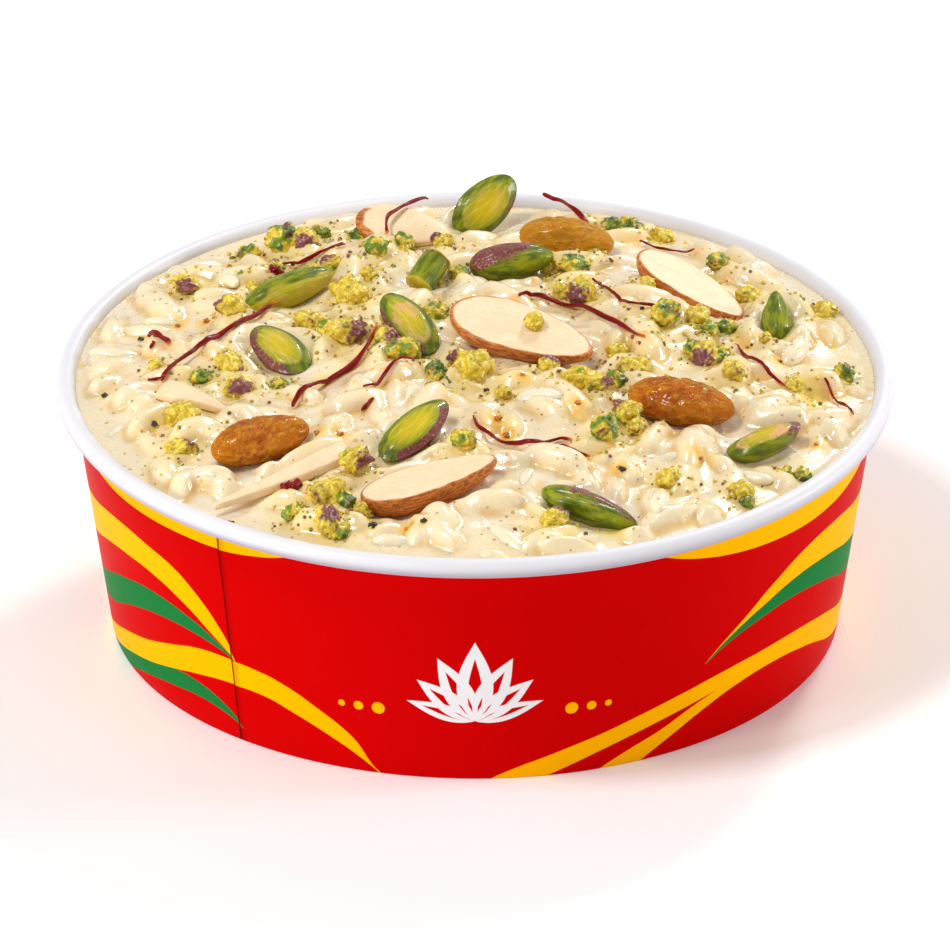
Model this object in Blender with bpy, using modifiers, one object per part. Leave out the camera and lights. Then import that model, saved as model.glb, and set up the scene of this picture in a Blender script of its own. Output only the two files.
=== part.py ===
"""Kheer, a cooled rice pudding, filled into a round paper bowl and strewn with nuts and saffron.

The bowl is a conical paper wall with a rolled rim, a folded hem at its foot and a lapped side
seam, and a flat paper disc that rests on the hem. The pudding is one heap: a mounded creamy
core with rice grains, crushed pistachio and saffron threads fused on. Larger nuts and raisins
are separate pieces, each half sunk in a pocket of the pudding.

Origin: the centre of the foot, on the table. +Z is up, and -Y is the front. Units are metres.
"""

import math
import random
from dataclasses import dataclass

import bmesh
import bpy
from mathutils import Matrix, Vector, noise

MM = 0.001

# The bowl
RIM_RADIUS = 75.0 * MM
BOWL_HEIGHT = 47.6 * MM
ROLL_RADIUS = 1.75 * MM
FOOT_RADIUS = 65.4 * MM
WALL_THICKNESS = 0.6 * MM
WALL_FACET_ALLOWANCE = 0.1 * MM
HEM_THICKNESS = 1.6 * MM
HEM_HEIGHT = 3.1 * MM
FOOT_ROUNDING = 0.3 * MM
BOWL_SEGMENTS = 64
ROLL_STEPS = 8
ROLL_END_DEG = -137.0
BASE_DISC_THICKNESS = 0.7 * MM
SEAM_ANGLE_DEG = -39.2
SEAM_LAP_WIDTH = 7.0 * MM
SEAM_LAP_PROUD = 0.35 * MM
GAP = 0.3 * MM

# The pudding
FILL_DEPTH_BELOW_RIM = 2.0 * MM
MOUND_RISE = 5.6 * MM
MOUND_CENTRE_Y = 4.0 * MM
CORE_CELLS = 30
LUMP_SIZE = 15.0 * MM
LUMP_RISE = 2.3 * MM
CURD_SIZE = 5.5 * MM
CURD_RISE = 1.3 * MM
CALM_EDGE = 9.0 * MM
POCKET_GAP = 0.45 * MM

# Rice grains, pistachio crumbs and saffron threads that are fused to the pudding
GRAIN_LENGTH = 9.0 * MM
GRAIN_WIDTH = 2.9 * MM
GRAIN_COUNT = 42
GRAIN_SPACING = 8.2 * MM
GRAIN_REACH = 66.5 * MM
GRAIN_TO_WALL = 0.8 * MM
THREAD_RADIUS = 0.55 * MM
SCATTER_SEED = 11


@dataclass(frozen=True)
class Topping:
    """A nut or raisin that is a piece of its own. Lengths are in millimetres and angles in degrees.

    Its long axis is turned by yaw from +X, its far end is raised by pitch, and roll turns it
    about the long axis. Lift is how far its middle lies above the pudding's surface.
    """

    name: str
    shape: str
    place: tuple
    size: tuple
    yaw: float
    pitch: float
    roll: float
    lift: float


TOPPINGS = (
    Topping("almond_half_centre", "almond_half", (8.4, 3.0), (28.0, 13.0, 5.0), -26, -7, 10, 2.9),
    Topping("almond_half_right", "almond_half", (39.0, 29.0), (24.5, 10.8, 4.8), -42, -13, -8, 3.0),
    Topping("almond_half_front", "almond_half", (-8.1, -49.8), (25.5, 9.8, 5.4), 19, 9, 1, 2.6),
    Topping("almond_slice_back", "almond_slice", (-13.4, 53.0), (17.0, 9.0, 2.2), -14, -5, 20, 1.6),
    Topping("almond_sliver_front", "almond_sliver", (-34.3, -45.1), (28.0, 4.8, 2.8), 213, -7, -8, 0.7),
    Topping("almond_sliver_left", "almond_sliver", (-49.9, -13.0), (13.5, 5.2, 2.4), -31, -4, 8, 0.5),
    Topping("pistachio_half_back", "pistachio_half", (2.0, 60.5), (14.8, 8.6, 4.8), 36, 30, 58, 4.8),
    Topping("pistachio_whole_back", "pistachio_whole", (6.6, 34.6), (15.5, 7.2, 6.6), 8, 5, 10, 2.1),
    Topping("pistachio_chunk", "pistachio_chunk", (-8.5, 29.0), (7.6, 5.4, 5.2), 56, 26, 0, 2.2),
    Topping("pistachio_half_middle", "pistachio_half", (-11.9, 7.4), (16.5, 7.8, 4.6), 122, 18, -14, 2.4),
    Topping("pistachio_piece_left", "pistachio_whole", (-33.5, 27.2), (18.0, 6.8, 6.2), 28, 10, 12, 1.8),
    Topping("pistachio_half_left", "pistachio_half", (-35.0, 0.9), (14.8, 8.2, 4.6), 128, 12, -14, 2.0),
    Topping("pistachio_half_front", "pistachio_half", (-10.8, -33.2), (17.0, 7.6, 5.0), 46, 19, 14, 2.4),
    Topping("pistachio_piece_right", "pistachio_chip", (54.3, 18.9), (12.0, 5.4, 4.8), 92, 25, 8, 1.7),
    Topping("pistachio_half_right", "pistachio_half", (51.2, -30.0), (14.8, 7.0, 5.0), 30, 10, 18, 2.0),
    Topping("pistachio_piece_front", "pistachio_whole", (20.1, -55.2), (18.5, 5.8, 5.6), -24, -10, 0, 1.5),
    Topping("raisin_left", "raisin", (-38.0, -34.6), (18.5, 9.2, 7.6), 22, 6, 18, 2.1),
    Topping("raisin_right", "raisin", (36.7, -19.9), (19.5, 9.8, 7.8), -14, -4, 14, 2.3),
    Topping("raisin_back", "raisin", (16.6, 45.4), (17.5, 8.6, 7.2), -12, -2, 22, 2.0),
)

# Larger pistachio crumbs: x, y and breadth in millimetres
CRUMBS = (
    (-34, 50, 7.0), (-28, 55, 3.8), (-41, 50, 4.0), (-52, 31, 5.0), (-44, 18, 5.0), (-28, 15, 5.2),
    (-21, 23, 6.2), (-23, 5, 6.8), (-44, -4, 6.4), (-49, -6, 4.2), (-41, -13, 6.4), (0, 29, 6.0),
    (-14, 44, 5.0), (-21, 40, 4.6), (-6, 46, 4.6), (19, 24, 6.8), (18, 34, 5.4), (27, 5, 4.8),
    (29, -3, 6.0), (12, 15, 5.0), (0, -10, 7.6), (-7, -8, 4.6), (13, -8, 4.2), (19, -11, 6.6),
    (25, -10, 4.6), (-13, -3, 4.6), (44, 40, 4.2), (49, 30, 4.2), (40, 14, 5.8), (34, 11, 5.6),
    (45, 13, 4.2), (41, 2, 7.4), (-52, -22, 6.6), (-52, -33, 6.0), (-25, -52, 7.4), (-31, -57, 4.4),
    (-27, -61, 6.0), (-2, -38, 5.0), (-21, -41, 5.4), (14, -61, 5.6), (23, -34, 6.4), (28, -23, 7.0),
    (34, -46, 4.8), (47, -47, 5.6), (28, 57, 6.0), (57, -12, 4.2), (62, 24, 4.4), (-19, -57, 4.4),
)

# Saffron threads: the points that each follows over the pudding, in millimetres
THREADS = (
    ((-57, -7), (-54, 0), (-50, 7), (-45, 13), (-39, 18)),
    ((-38, 43), (-33, 42), (-28, 42), (-24, 46)),
    ((13, 66), (17, 64), (20, 61), (23, 56)),
    ((-19, 2), (-21, -6), (-26, -11), (-31, -14), (-33, -19)),
    ((-11, -4), (-14, -11), (-20, -16)),
    ((13, 24), (19, 19), (25, 13), (31, 4)),
    ((22, 31), (26, 23), (31, 17), (36, 17)),
    ((29, 54), (33, 49), (37, 47), (41, 47)),
    ((0, -25), (4, -30), (9, -34), (14, -34), (21, -38)),
    ((48, 9), (50, 0), (53, -5), (57, -9)),
    ((61, -3), (63, -8), (64, -13)),
)

WALL_SLOPE = (RIM_RADIUS - 2 * ROLL_RADIUS + WALL_THICKNESS - FOOT_RADIUS) / (BOWL_HEIGHT - ROLL_RADIUS)
DISC_BOTTOM = HEM_HEIGHT + GAP
PUDDING_BOTTOM = DISC_BOTTOM + BASE_DISC_THICKNESS + GAP
FILL_LEVEL = BOWL_HEIGHT - FILL_DEPTH_BELOW_RIM


def wall_radius(height):
    """The outer radius of the conical wall at a height above the table."""
    return FOOT_RADIUS + WALL_SLOPE * height


def clear_scene():
    """Removes the objects of the startup scene."""
    for existing in list(bpy.data.objects):
        bpy.data.objects.remove(existing, do_unlink=True)


def new_collection(name):
    """Adds a collection to the scene."""
    collection = bpy.data.collections.new(name)
    bpy.context.scene.collection.children.link(collection)
    return collection


def new_material(name, colour, roughness):
    """Makes a plain Principled material."""
    material = bpy.data.materials.new(name)
    material.use_nodes = True
    shader = material.node_tree.nodes["Principled BSDF"]
    shader.inputs["Base Color"].default_value = (*colour, 1.0)
    shader.inputs["Roughness"].default_value = roughness
    shader.inputs["Metallic"].default_value = 0.0
    return material


def new_object(name, shape, collection, material=None):
    """Turns a bmesh into an object of a collection, and frees the bmesh."""
    mesh = bpy.data.meshes.new(name)
    shape.to_mesh(mesh)
    shape.free()
    made = bpy.data.objects.new(name, mesh)
    collection.objects.link(made)
    if material is not None:
        mesh.materials.append(material)
    return made


def apply_modifiers(target):
    """Replaces an object's mesh by its evaluated one, and clears its modifiers."""
    graph = bpy.context.evaluated_depsgraph_get()
    baked = bpy.data.meshes.new_from_object(target.evaluated_get(graph))
    target.modifiers.clear()
    target.data = baked


def keep_largest_shell(target):
    """Drops loose scraps and sealed hollows, so that one closed body is left."""
    shape = bmesh.new()
    shape.from_mesh(target.data)
    bmesh.ops.remove_doubles(shape, verts=shape.verts, dist=0.002 * MM)
    unseen = set(shape.faces)
    shells = []
    while unseen:
        front = {unseen.pop()}
        shell = set(front)
        while front:
            neighbours = {face for known in front for edge in known.edges for face in edge.link_faces}
            front = neighbours & unseen
            unseen -= front
            shell |= front
        shells.append(shell)
    largest = max(shells, key=len)
    scraps = [face for shell in shells if shell is not largest for face in shell]
    bmesh.ops.delete(shape, geom=scraps, context="FACES")
    bmesh.ops.triangulate(shape, faces=shape.faces)
    bmesh.ops.dissolve_degenerate(shape, edges=shape.edges, dist=0.004 * MM)
    shape.to_mesh(target.data)
    shape.free()


# Bowl


def bowl_profile():
    """The cross-section of the wall with its rolled rim and folded hem, as a closed ring of points."""
    roll_centre_radius = RIM_RADIUS - ROLL_RADIUS
    roll_centre_height = BOWL_HEIGHT - ROLL_RADIUS
    points = []
    for step in range(ROLL_STEPS + 1):
        angle = math.radians(180.0 + (ROLL_END_DEG - 180.0) * step / ROLL_STEPS)
        points.append(
            (
                roll_centre_radius + ROLL_RADIUS * math.cos(angle),
                roll_centre_height + ROLL_RADIUS * math.sin(angle),
            )
        )
    points.append((wall_radius(FOOT_ROUNDING), FOOT_ROUNDING))
    points.append((FOOT_RADIUS - FOOT_ROUNDING, 0.0))
    points.append((FOOT_RADIUS - HEM_THICKNESS, 0.0))
    points.append((wall_radius(HEM_HEIGHT) - HEM_THICKNESS, HEM_HEIGHT))
    points.append((wall_radius(HEM_HEIGHT) - WALL_THICKNESS, HEM_HEIGHT))
    return points


def build_wall(collection, material):
    """The turned paper wall, with the lap of its side seam joined on."""
    ring = bmesh.new()
    corners = [ring.verts.new((radius, 0.0, height)) for radius, height in bowl_profile()]
    for first, second in zip(corners, corners[1:] + corners[:1]):
        ring.edges.new((first, second))
    wall = new_object("bowl_wall", ring, collection, material)
    screw = wall.modifiers.new("Turn", "SCREW")
    screw.axis = "Z"
    screw.angle = math.tau
    screw.steps = BOWL_SEGMENTS
    screw.render_steps = BOWL_SEGMENTS
    screw.use_merge_vertices = True
    screw.merge_threshold = 0.01 * MM
    screw.use_smooth_shade = True
    apply_modifiers(wall)

    lap = seam_lap(collection)
    join = wall.modifiers.new("Lap", "BOOLEAN")
    join.operation = "UNION"
    join.solver = "EXACT"
    join.object = lap
    apply_modifiers(wall)
    bpy.data.objects.remove(lap, do_unlink=True)
    keep_largest_shell(wall)
    wall.data.shade_smooth()
    wall.data.set_sharp_from_angle(angle=math.radians(35))
    return wall


def seam_lap(collection):
    """The strip where one end of the paper wall lies over the other, thinning out to one side."""
    low = 1.2 * MM
    high = BOWL_HEIGHT - 2 * ROLL_RADIUS
    strip = bmesh.new()
    bmesh.ops.create_cube(strip, size=1.0)
    along = [edge for edge in strip.edges if abs(edge.verts[0].co.x - edge.verts[1].co.x) > 0.5]
    bmesh.ops.subdivide_edges(strip, edges=along, cuts=2, use_grid_fill=True)
    for vert in strip.verts:
        share = vert.co.x + 0.5
        height = low + (vert.co.z + 0.5) * (high - low)
        outside = vert.co.y < 0
        radius = wall_radius(height) + (SEAM_LAP_PROUD * (1.0 - 0.85 * share) if outside else -0.3 * MM)
        angle = math.radians(SEAM_ANGLE_DEG) + share * SEAM_LAP_WIDTH / radius
        vert.co = (radius * math.sin(angle), -radius * math.cos(angle), height)
    bmesh.ops.recalc_face_normals(strip, faces=strip.faces)
    return new_object("seam_lap", strip, collection)


def build_base(collection, material):
    """The paper disc that rests on the hem, inside the foot."""
    disc = bmesh.new()
    radius = wall_radius(DISC_BOTTOM) - WALL_THICKNESS - GAP
    bmesh.ops.create_cone(
        disc,
        cap_ends=True,
        cap_tris=False,
        segments=BOWL_SEGMENTS,
        radius1=radius,
        radius2=radius,
        depth=BASE_DISC_THICKNESS,
    )
    base = new_object("bowl_base", disc, collection, material)
    base.location.z = DISC_BOTTOM + BASE_DISC_THICKNESS / 2
    return base


# Pudding


def inner_radius(height):
    """How far the pudding may reach at a height: to the wall's inside, less the gap and its facets."""
    return wall_radius(height) - WALL_THICKNESS - GAP - WALL_FACET_ALLOWANCE


def surface_height(x, y):
    """The height of the pudding's bare surface, from the mound, its lumps and its curds."""
    reach = inner_radius(FILL_LEVEL)
    distance = min(math.hypot(x, y) / reach, 1.0)
    off_centre = min(math.hypot(x, y - MOUND_CENTRE_Y * (1.0 - distance)) / reach, 1.0)
    mound = MOUND_RISE * (1.0 - off_centre**2.6)
    calm = min(1.0, (1.0 - distance) * reach / CALM_EDGE)
    lumps = LUMP_RISE * noise.noise(Vector((x / LUMP_SIZE, y / LUMP_SIZE, 0.3)))
    curds = CURD_RISE * noise.noise(Vector((x / CURD_SIZE, y / CURD_SIZE, 7.1)))
    return FILL_LEVEL + mound + (0.25 + 0.75 * calm) * (lumps + curds)


def on_disc(u, v):
    """Maps a point of the square from -1 to 1 on a disc of radius 1, with cells of like size."""
    if u == 0 and v == 0:
        return 0.0, 0.0
    if abs(u) > abs(v):
        radius, angle = u, math.pi / 4 * v / u
    else:
        radius, angle = v, math.pi / 2 - math.pi / 4 * u / v
    return radius * math.cos(angle), radius * math.sin(angle)


def pudding_core(collection, material):
    """The solid pudding with its bare surface: a lumpy disc, a conical side and a flat underside."""
    core = bmesh.new()
    bmesh.ops.create_grid(core, x_segments=CORE_CELLS, y_segments=CORE_CELLS, size=1.0)
    reach = inner_radius(FILL_LEVEL)
    for vert in core.verts:
        x, y = on_disc(vert.co.x, vert.co.y)
        vert.co = (x * reach, y * reach, surface_height(x * reach, y * reach))
    rim = [edge for edge in core.edges if edge.is_boundary]
    lowered = bmesh.ops.extrude_edge_only(core, edges=rim)["geom"]
    share = inner_radius(PUDDING_BOTTOM) / reach
    foot = [item for item in lowered if isinstance(item, bmesh.types.BMVert)]
    for vert in foot:
        vert.co = (vert.co.x * share, vert.co.y * share, PUDDING_BOTTOM)
    foot_edges = [edge for edge in core.edges if edge.is_boundary]
    bmesh.ops.contextual_create(core, geom=foot_edges)
    bmesh.ops.recalc_face_normals(core, faces=core.faces)
    return new_object("pudding", core, collection, material)


def rice_grain(length, width, bend):
    """A swollen grain of rice, along X, with few sides."""
    grain = bmesh.new()
    bmesh.ops.create_uvsphere(grain, u_segments=5, v_segments=4, radius=0.5)
    turned = Matrix.Rotation(math.pi / 2, 4, "Y")
    bmesh.ops.transform(grain, matrix=turned, verts=grain.verts)
    for vert in grain.verts:
        along = 2 * vert.co.x
        vert.co = (vert.co.x * length, vert.co.y * width + bend * along * along, vert.co.z * width * 0.95)
    return grain


def crumb(breadth, draw):
    """A broken bit of pistachio, uneven on every side."""
    bit = bmesh.new()
    bmesh.ops.create_icosphere(bit, subdivisions=1, radius=0.5)
    stretch = Vector((draw.uniform(0.9, 1.15), draw.uniform(0.7, 0.9), draw.uniform(0.65, 0.85)))
    for vert in bit.verts:
        vert.co = breadth * draw.uniform(0.85, 1.12) * vert.co * stretch
    return bit


def lay_on_surface(shape, x, y, lift, yaw, pitch):
    """Turns a shape and sets it down with its middle lift above the pudding's surface."""
    turned = Matrix.Rotation(yaw, 4, "Z") @ Matrix.Rotation(pitch, 4, "Y")
    place = Matrix.Translation((x, y, surface_height(x, y) + lift)) @ turned
    bmesh.ops.transform(shape, matrix=place, verts=shape.verts)


def clear_of_toppings(x, y, margin):
    """Whether a point keeps clear of every separate nut and raisin."""
    for topping in TOPPINGS:
        length, width, _ = topping.size
        turn = math.radians(topping.yaw)
        dx, dy = x - topping.place[0] * MM, y - topping.place[1] * MM
        along = dx * math.cos(turn) + dy * math.sin(turn)
        across = -dx * math.sin(turn) + dy * math.cos(turn)
        reach = (along / (length * MM / 2 + margin)) ** 2 + (across / (width * MM / 2 + margin)) ** 2
        if reach < 1.0:
            return False
    return True


def thread_points(points):
    """A smooth line through a thread's points, laid on the pudding."""
    stations = [Vector((x * MM, y * MM, 0.0)) for x, y in points]
    padded = [2 * stations[0] - stations[1], *stations, 2 * stations[-1] - stations[-2]]
    line = []
    for index in range(1, len(padded) - 2):
        before, start, end, after = padded[index - 1 : index + 3]
        for step in range(2):
            t = step / 2
            line.append(
                0.5
                * (
                    2 * start
                    + t * (end - before)
                    + t * t * (2 * before - 5 * start + 4 * end - after)
                    + t * t * t * (3 * start - before - 3 * end + after)
                )
            )
    line.append(stations[-1])
    for point in line:
        point.z = surface_height(point.x, point.y) + 0.35 * THREAD_RADIUS
    return line


def saffron_thread(points, name, collection):
    """A saffron thread as a tapered tube, made a mesh so that it can be joined on."""
    path = bpy.data.curves.new(name, "CURVE")
    path.dimensions = "3D"
    path.bevel_depth = THREAD_RADIUS
    path.bevel_resolution = 0
    path.use_fill_caps = True
    line = thread_points(points)
    spline = path.splines.new("POLY")
    spline.points.add(len(line) - 1)
    for index, (knot, place) in enumerate(zip(spline.points, line)):
        knot.co = (*place, 1.0)
        knot.radius = 0.65 + 0.45 * math.sin(math.pi * index / (len(line) - 1))
    tube = bpy.data.objects.new(name, path)
    collection.objects.link(tube)
    graph = bpy.context.evaluated_depsgraph_get()
    skin = bmesh.new()
    solid = bpy.data.meshes.new_from_object(tube.evaluated_get(graph))
    skin.from_mesh(solid)
    bpy.data.objects.remove(tube, do_unlink=True)
    bmesh.ops.remove_doubles(skin, verts=skin.verts, dist=0.01 * MM)
    bmesh.ops.recalc_face_normals(skin, faces=skin.faces)
    return new_object(name, skin, collection)


def scatter_on_pudding(collection):
    """Lays out the grains, crumbs and threads that are to be joined to the pudding."""
    draw = random.Random(SCATTER_SEED)
    taken = []
    for x, y, breadth in CRUMBS:
        if clear_of_toppings(x * MM, y * MM, breadth * MM * 0.62):
            bit = crumb(breadth * MM, draw)
            lay_on_surface(bit, x * MM, y * MM, 0.18 * breadth * MM, draw.uniform(0, math.tau), 0.0)
            new_object("crumb", bit, collection)
            taken.append((x * MM, y * MM, 0.8 * breadth * MM + GRAIN_LENGTH * 0.3))
    for index, points in enumerate(THREADS):
        saffron_thread(points, f"thread_{index}", collection)
        taken.extend((x * MM, y * MM, GRAIN_LENGTH * 0.55) for x, y in points)
    grains = 0
    for _ in range(40 * GRAIN_COUNT):
        radius = GRAIN_REACH * math.sqrt(draw.random())
        angle = draw.uniform(0, math.tau)
        x, y = radius * math.cos(angle), radius * math.sin(angle)
        yaw, pitch = draw.uniform(0, math.pi), math.radians(draw.uniform(-10, 10))
        length = GRAIN_LENGTH * draw.uniform(0.82, 1.12)
        outward = radius + length / 2 * abs(math.cos(yaw - angle)) + GRAIN_WIDTH / 2
        beside_wall = outward > inner_radius(FILL_LEVEL) - GRAIN_TO_WALL
        crowded = any(math.hypot(x - a, y - b) < spacing for a, b, spacing in taken)
        if grains == GRAIN_COUNT or beside_wall or crowded or not clear_of_toppings(x, y, 0.48 * length):
            continue
        grain = rice_grain(length, GRAIN_WIDTH * draw.uniform(0.9, 1.12), draw.uniform(-0.7, 0.7) * MM)
        lay_on_surface(grain, x, y, 0.42 * MM, yaw, pitch)
        new_object("grain", grain, collection)
        taken.append((x, y, GRAIN_SPACING * (0.72 + 0.5 * radius / GRAIN_REACH)))
        grains += 1


# Toppings


def ovoid(size, segments, rings, taper):
    """A nut's body along X: widest behind the middle and narrowing to its tip at +X by taper."""
    length, width, height = (value * MM for value in size)
    body = bmesh.new()
    bmesh.ops.create_uvsphere(body, u_segments=segments, v_segments=rings, radius=0.5)
    turned = Matrix.Rotation(math.pi / 2, 4, "Y")
    bmesh.ops.transform(body, matrix=turned, verts=body.verts)
    for vert in body.verts:
        narrow = 1.0 - taper * 2 * vert.co.x
        vert.co = (vert.co.x * length, vert.co.y * width * narrow, vert.co.z * height * narrow)
    return body


def half_nut(size, taper):
    """A nut split lengthwise: a domed back below and a flat cut face above."""
    length, width, thickness = size
    body = ovoid((length, width, 2 * thickness), 10, 7, taper)
    cut_height = 0.12 * thickness * MM
    everything = body.verts[:] + body.edges[:] + body.faces[:]
    cut = bmesh.ops.bisect_plane(
        body, geom=everything, plane_co=(0, 0, cut_height), plane_no=(0, 0, 1), clear_outer=True
    )
    edges = [item for item in cut["geom_cut"] if isinstance(item, bmesh.types.BMEdge)]
    bmesh.ops.contextual_create(body, geom=edges)
    return body


def almond_slice(size):
    """A thin oval slice of blanched almond with a rounded edge."""
    length, width, thickness = (value * MM for value in size)
    body = bmesh.new()
    bmesh.ops.create_cone(body, cap_ends=True, segments=12, radius1=0.5, radius2=0.5, depth=1.0)
    for vert in body.verts:
        narrow = 1.0 - 0.3 * 2 * vert.co.x
        vert.co = (vert.co.x * length, vert.co.y * width * narrow, vert.co.z * thickness)
    outline = [edge for edge in body.edges if abs(edge.verts[0].co.z - edge.verts[1].co.z) < 1e-6]
    bmesh.ops.bevel(
        body, geom=outline, offset=0.25 * thickness, segments=1, profile=0.5, affect="EDGES", material=-1
    )
    return body


def almond_sliver(size):
    """A sliver of blanched almond, curved like the nut it was cut from, that narrows to +X."""
    length, width, thickness = (value * MM for value in size)
    body = bmesh.new()
    bmesh.ops.create_cube(body, size=1.0)
    along = [edge for edge in body.edges if abs(edge.verts[0].co.x - edge.verts[1].co.x) > 0.5]
    bmesh.ops.subdivide_edges(body, edges=along, cuts=4, use_grid_fill=True)
    for vert in body.verts:
        share = vert.co.x + 0.5
        narrow = 0.22 + 0.78 * min(1.0, 1.25 * (1.0 - share)) ** 0.75
        bow = 0.10 * width * math.sin(math.pi * share)
        vert.co = (vert.co.x * length, vert.co.y * width * narrow + bow, vert.co.z * thickness * narrow)
    return body


def pistachio_chunk(size):
    """A short thick piece cut across a pistachio, with both cut ends flat."""
    length, width, height = (value * MM for value in size)
    body = bmesh.new()
    bmesh.ops.create_cone(body, cap_ends=True, segments=10, radius1=0.5, radius2=0.46, depth=1.0)
    bmesh.ops.transform(body, matrix=Matrix.Rotation(math.pi / 2, 4, "Y"), verts=body.verts)
    for vert in body.verts:
        vert.co = (vert.co.x * length, vert.co.y * width, vert.co.z * height)
    return body


def pistachio_chip(size):
    """A pointed chip of pistachio with a ridge along its back."""
    body = ovoid(size, 7, 7, 0.42)
    for vert in body.verts:
        if vert.co.z > 0:
            vert.co.z *= 1.15 - 0.5 * abs(vert.co.y) / (size[1] * MM)
    return body


def raisin(size):
    """A plump raisin with the long creases of its dried skin."""
    body = ovoid(size, 10, 8, 0.06)
    half_length = size[0] * MM / 2
    crease_depth = 0.05
    for vert in body.verts:
        around = math.atan2(vert.co.z, vert.co.y)
        along = vert.co.x / half_length
        crease = 1.0 + crease_depth * math.sin(5 * around + 2.4 * along) * (1.0 - along * along)
        vert.co.y *= crease
        vert.co.z *= crease
    return body


def topping_shape(topping):
    """The bmesh of a topping in its own axes: long axis X, cut face towards +Z."""
    if topping.shape == "almond_half":
        return half_nut(topping.size, 0.22)
    if topping.shape == "pistachio_half":
        return half_nut(topping.size, 0.08)
    if topping.shape == "pistachio_whole":
        return ovoid(topping.size, 8, 7, 0.12)
    if topping.shape == "pistachio_chunk":
        return pistachio_chunk(topping.size)
    if topping.shape == "pistachio_chip":
        return pistachio_chip(topping.size)
    if topping.shape == "almond_slice":
        return almond_slice(topping.size)
    if topping.shape == "almond_sliver":
        return almond_sliver(topping.size)
    return raisin(topping.size)


def topping_place(topping):
    """Where a topping lies, as a matrix from its own axes."""
    x, y = topping.place[0] * MM, topping.place[1] * MM
    height = surface_height(x, y) + topping.lift * MM
    return (
        Matrix.Translation((x, y, height))
        @ Matrix.Rotation(math.radians(topping.yaw), 4, "Z")
        @ Matrix.Rotation(math.radians(-topping.pitch), 4, "Y")
        @ Matrix.Rotation(math.radians(topping.roll), 4, "X")
    )


def build_toppings(collection, materials):
    """Each separate nut and raisin, placed by its location and rotation."""
    for topping in TOPPINGS:
        family = topping.shape.split("_")[0]
        made = new_object(topping.name, topping_shape(topping), collection, materials[family])
        made.matrix_world = topping_place(topping)
        made.data.shade_smooth()
        made.data.set_sharp_from_angle(angle=math.radians(40))


def pocket_cutters(collection):
    """Slightly swollen copies of the toppings, which cut their pockets into the pudding."""
    for topping in TOPPINGS:
        shape = topping_shape(topping)
        bmesh.ops.recalc_face_normals(shape, faces=shape.faces)
        shape.normal_update()
        swollen = [vert.co + vert.normal * POCKET_GAP for vert in shape.verts]
        for vert, place in zip(shape.verts, swollen):
            vert.co = place
        bmesh.ops.transform(shape, matrix=topping_place(topping), verts=shape.verts)
        new_object("pocket_" + topping.name, shape, collection)


def build_pudding(collection, material):
    """The heap: the core with everything small fused on, less the pockets of the toppings."""
    pudding = pudding_core(collection, material)
    for operation, lay_out in (("UNION", scatter_on_pudding), ("DIFFERENCE", pocket_cutters)):
        helpers = new_collection("helpers")
        lay_out(helpers)
        boolean = pudding.modifiers.new(operation.title(), "BOOLEAN")
        boolean.operation = operation
        boolean.operand_type = "COLLECTION"
        boolean.solver = "MANIFOLD"
        boolean.collection = helpers
        apply_modifiers(pudding)
        for helper in list(helpers.objects):
            bpy.data.objects.remove(helper, do_unlink=True)
        bpy.data.collections.remove(helpers)
        keep_largest_shell(pudding)
    pudding.data.shade_smooth()
    pudding.data.set_sharp_from_angle(angle=math.radians(50))
    return pudding


def main():
    """Builds the filled bowl."""
    clear_scene()
    bowl = new_collection("kheer_bowl")
    build_wall(bowl, new_material("printed_paper", (0.72, 0.01, 0.02), 0.35))
    build_base(bowl, new_material("white_paper", (0.9, 0.9, 0.9), 0.5))
    build_pudding(bowl, new_material("rice_pudding", (0.86, 0.74, 0.5), 0.3))
    nuts = {
        "almond": new_material("almond_flesh", (0.88, 0.75, 0.52), 0.5),
        "pistachio": new_material("pistachio_green", (0.28, 0.42, 0.03), 0.45),
        "raisin": new_material("golden_raisin", (0.62, 0.22, 0.01), 0.3),
    }
    build_toppings(bowl, nuts)


main()
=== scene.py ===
"""Kheer, a cooled rice pudding strewn with nuts and saffron, in a printed round paper bowl.

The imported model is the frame. The turned bowl, the pudding and every separate nut and raisin
stand for their solids, and the small things that lie on the pudding are pieces of their own.
Units are metres, +Z is up, and -Y faces the camera.
"""

import logging
import math
import random
from collections.abc import Sequence
from dataclasses import dataclass, field
from enum import Enum
from functools import partial

import bmesh
import bpy
import numpy as np
from mathutils import Matrix, Vector, noise

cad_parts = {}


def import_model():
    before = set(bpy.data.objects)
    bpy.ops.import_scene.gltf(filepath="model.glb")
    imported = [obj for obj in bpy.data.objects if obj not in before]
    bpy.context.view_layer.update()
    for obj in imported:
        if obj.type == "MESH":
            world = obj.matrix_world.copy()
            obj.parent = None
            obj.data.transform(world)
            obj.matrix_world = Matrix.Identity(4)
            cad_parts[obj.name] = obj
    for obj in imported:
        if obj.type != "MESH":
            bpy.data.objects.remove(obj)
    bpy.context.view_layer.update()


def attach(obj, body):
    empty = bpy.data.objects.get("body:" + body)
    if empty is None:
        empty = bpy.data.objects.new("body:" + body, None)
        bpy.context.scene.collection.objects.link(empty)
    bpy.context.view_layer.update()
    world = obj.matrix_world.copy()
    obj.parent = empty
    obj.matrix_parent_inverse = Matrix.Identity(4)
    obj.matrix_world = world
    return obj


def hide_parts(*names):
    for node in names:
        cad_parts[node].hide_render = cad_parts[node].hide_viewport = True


log = logging.getLogger("kheer")

MM = 0.001
BODY = "root"

Socket = bpy.types.NodeSocket
Node = bpy.types.Node
Group = bpy.types.NodeTree
Finish = bpy.types.Material
Piece = bpy.types.Object
Form = bmesh.types.BMesh
Value = float | Socket
Colour = tuple[float, float, float]
Points = Sequence[tuple[float, float]]
Window = tuple[slice, slice]


# Sizes and places, as the solids have them


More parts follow.
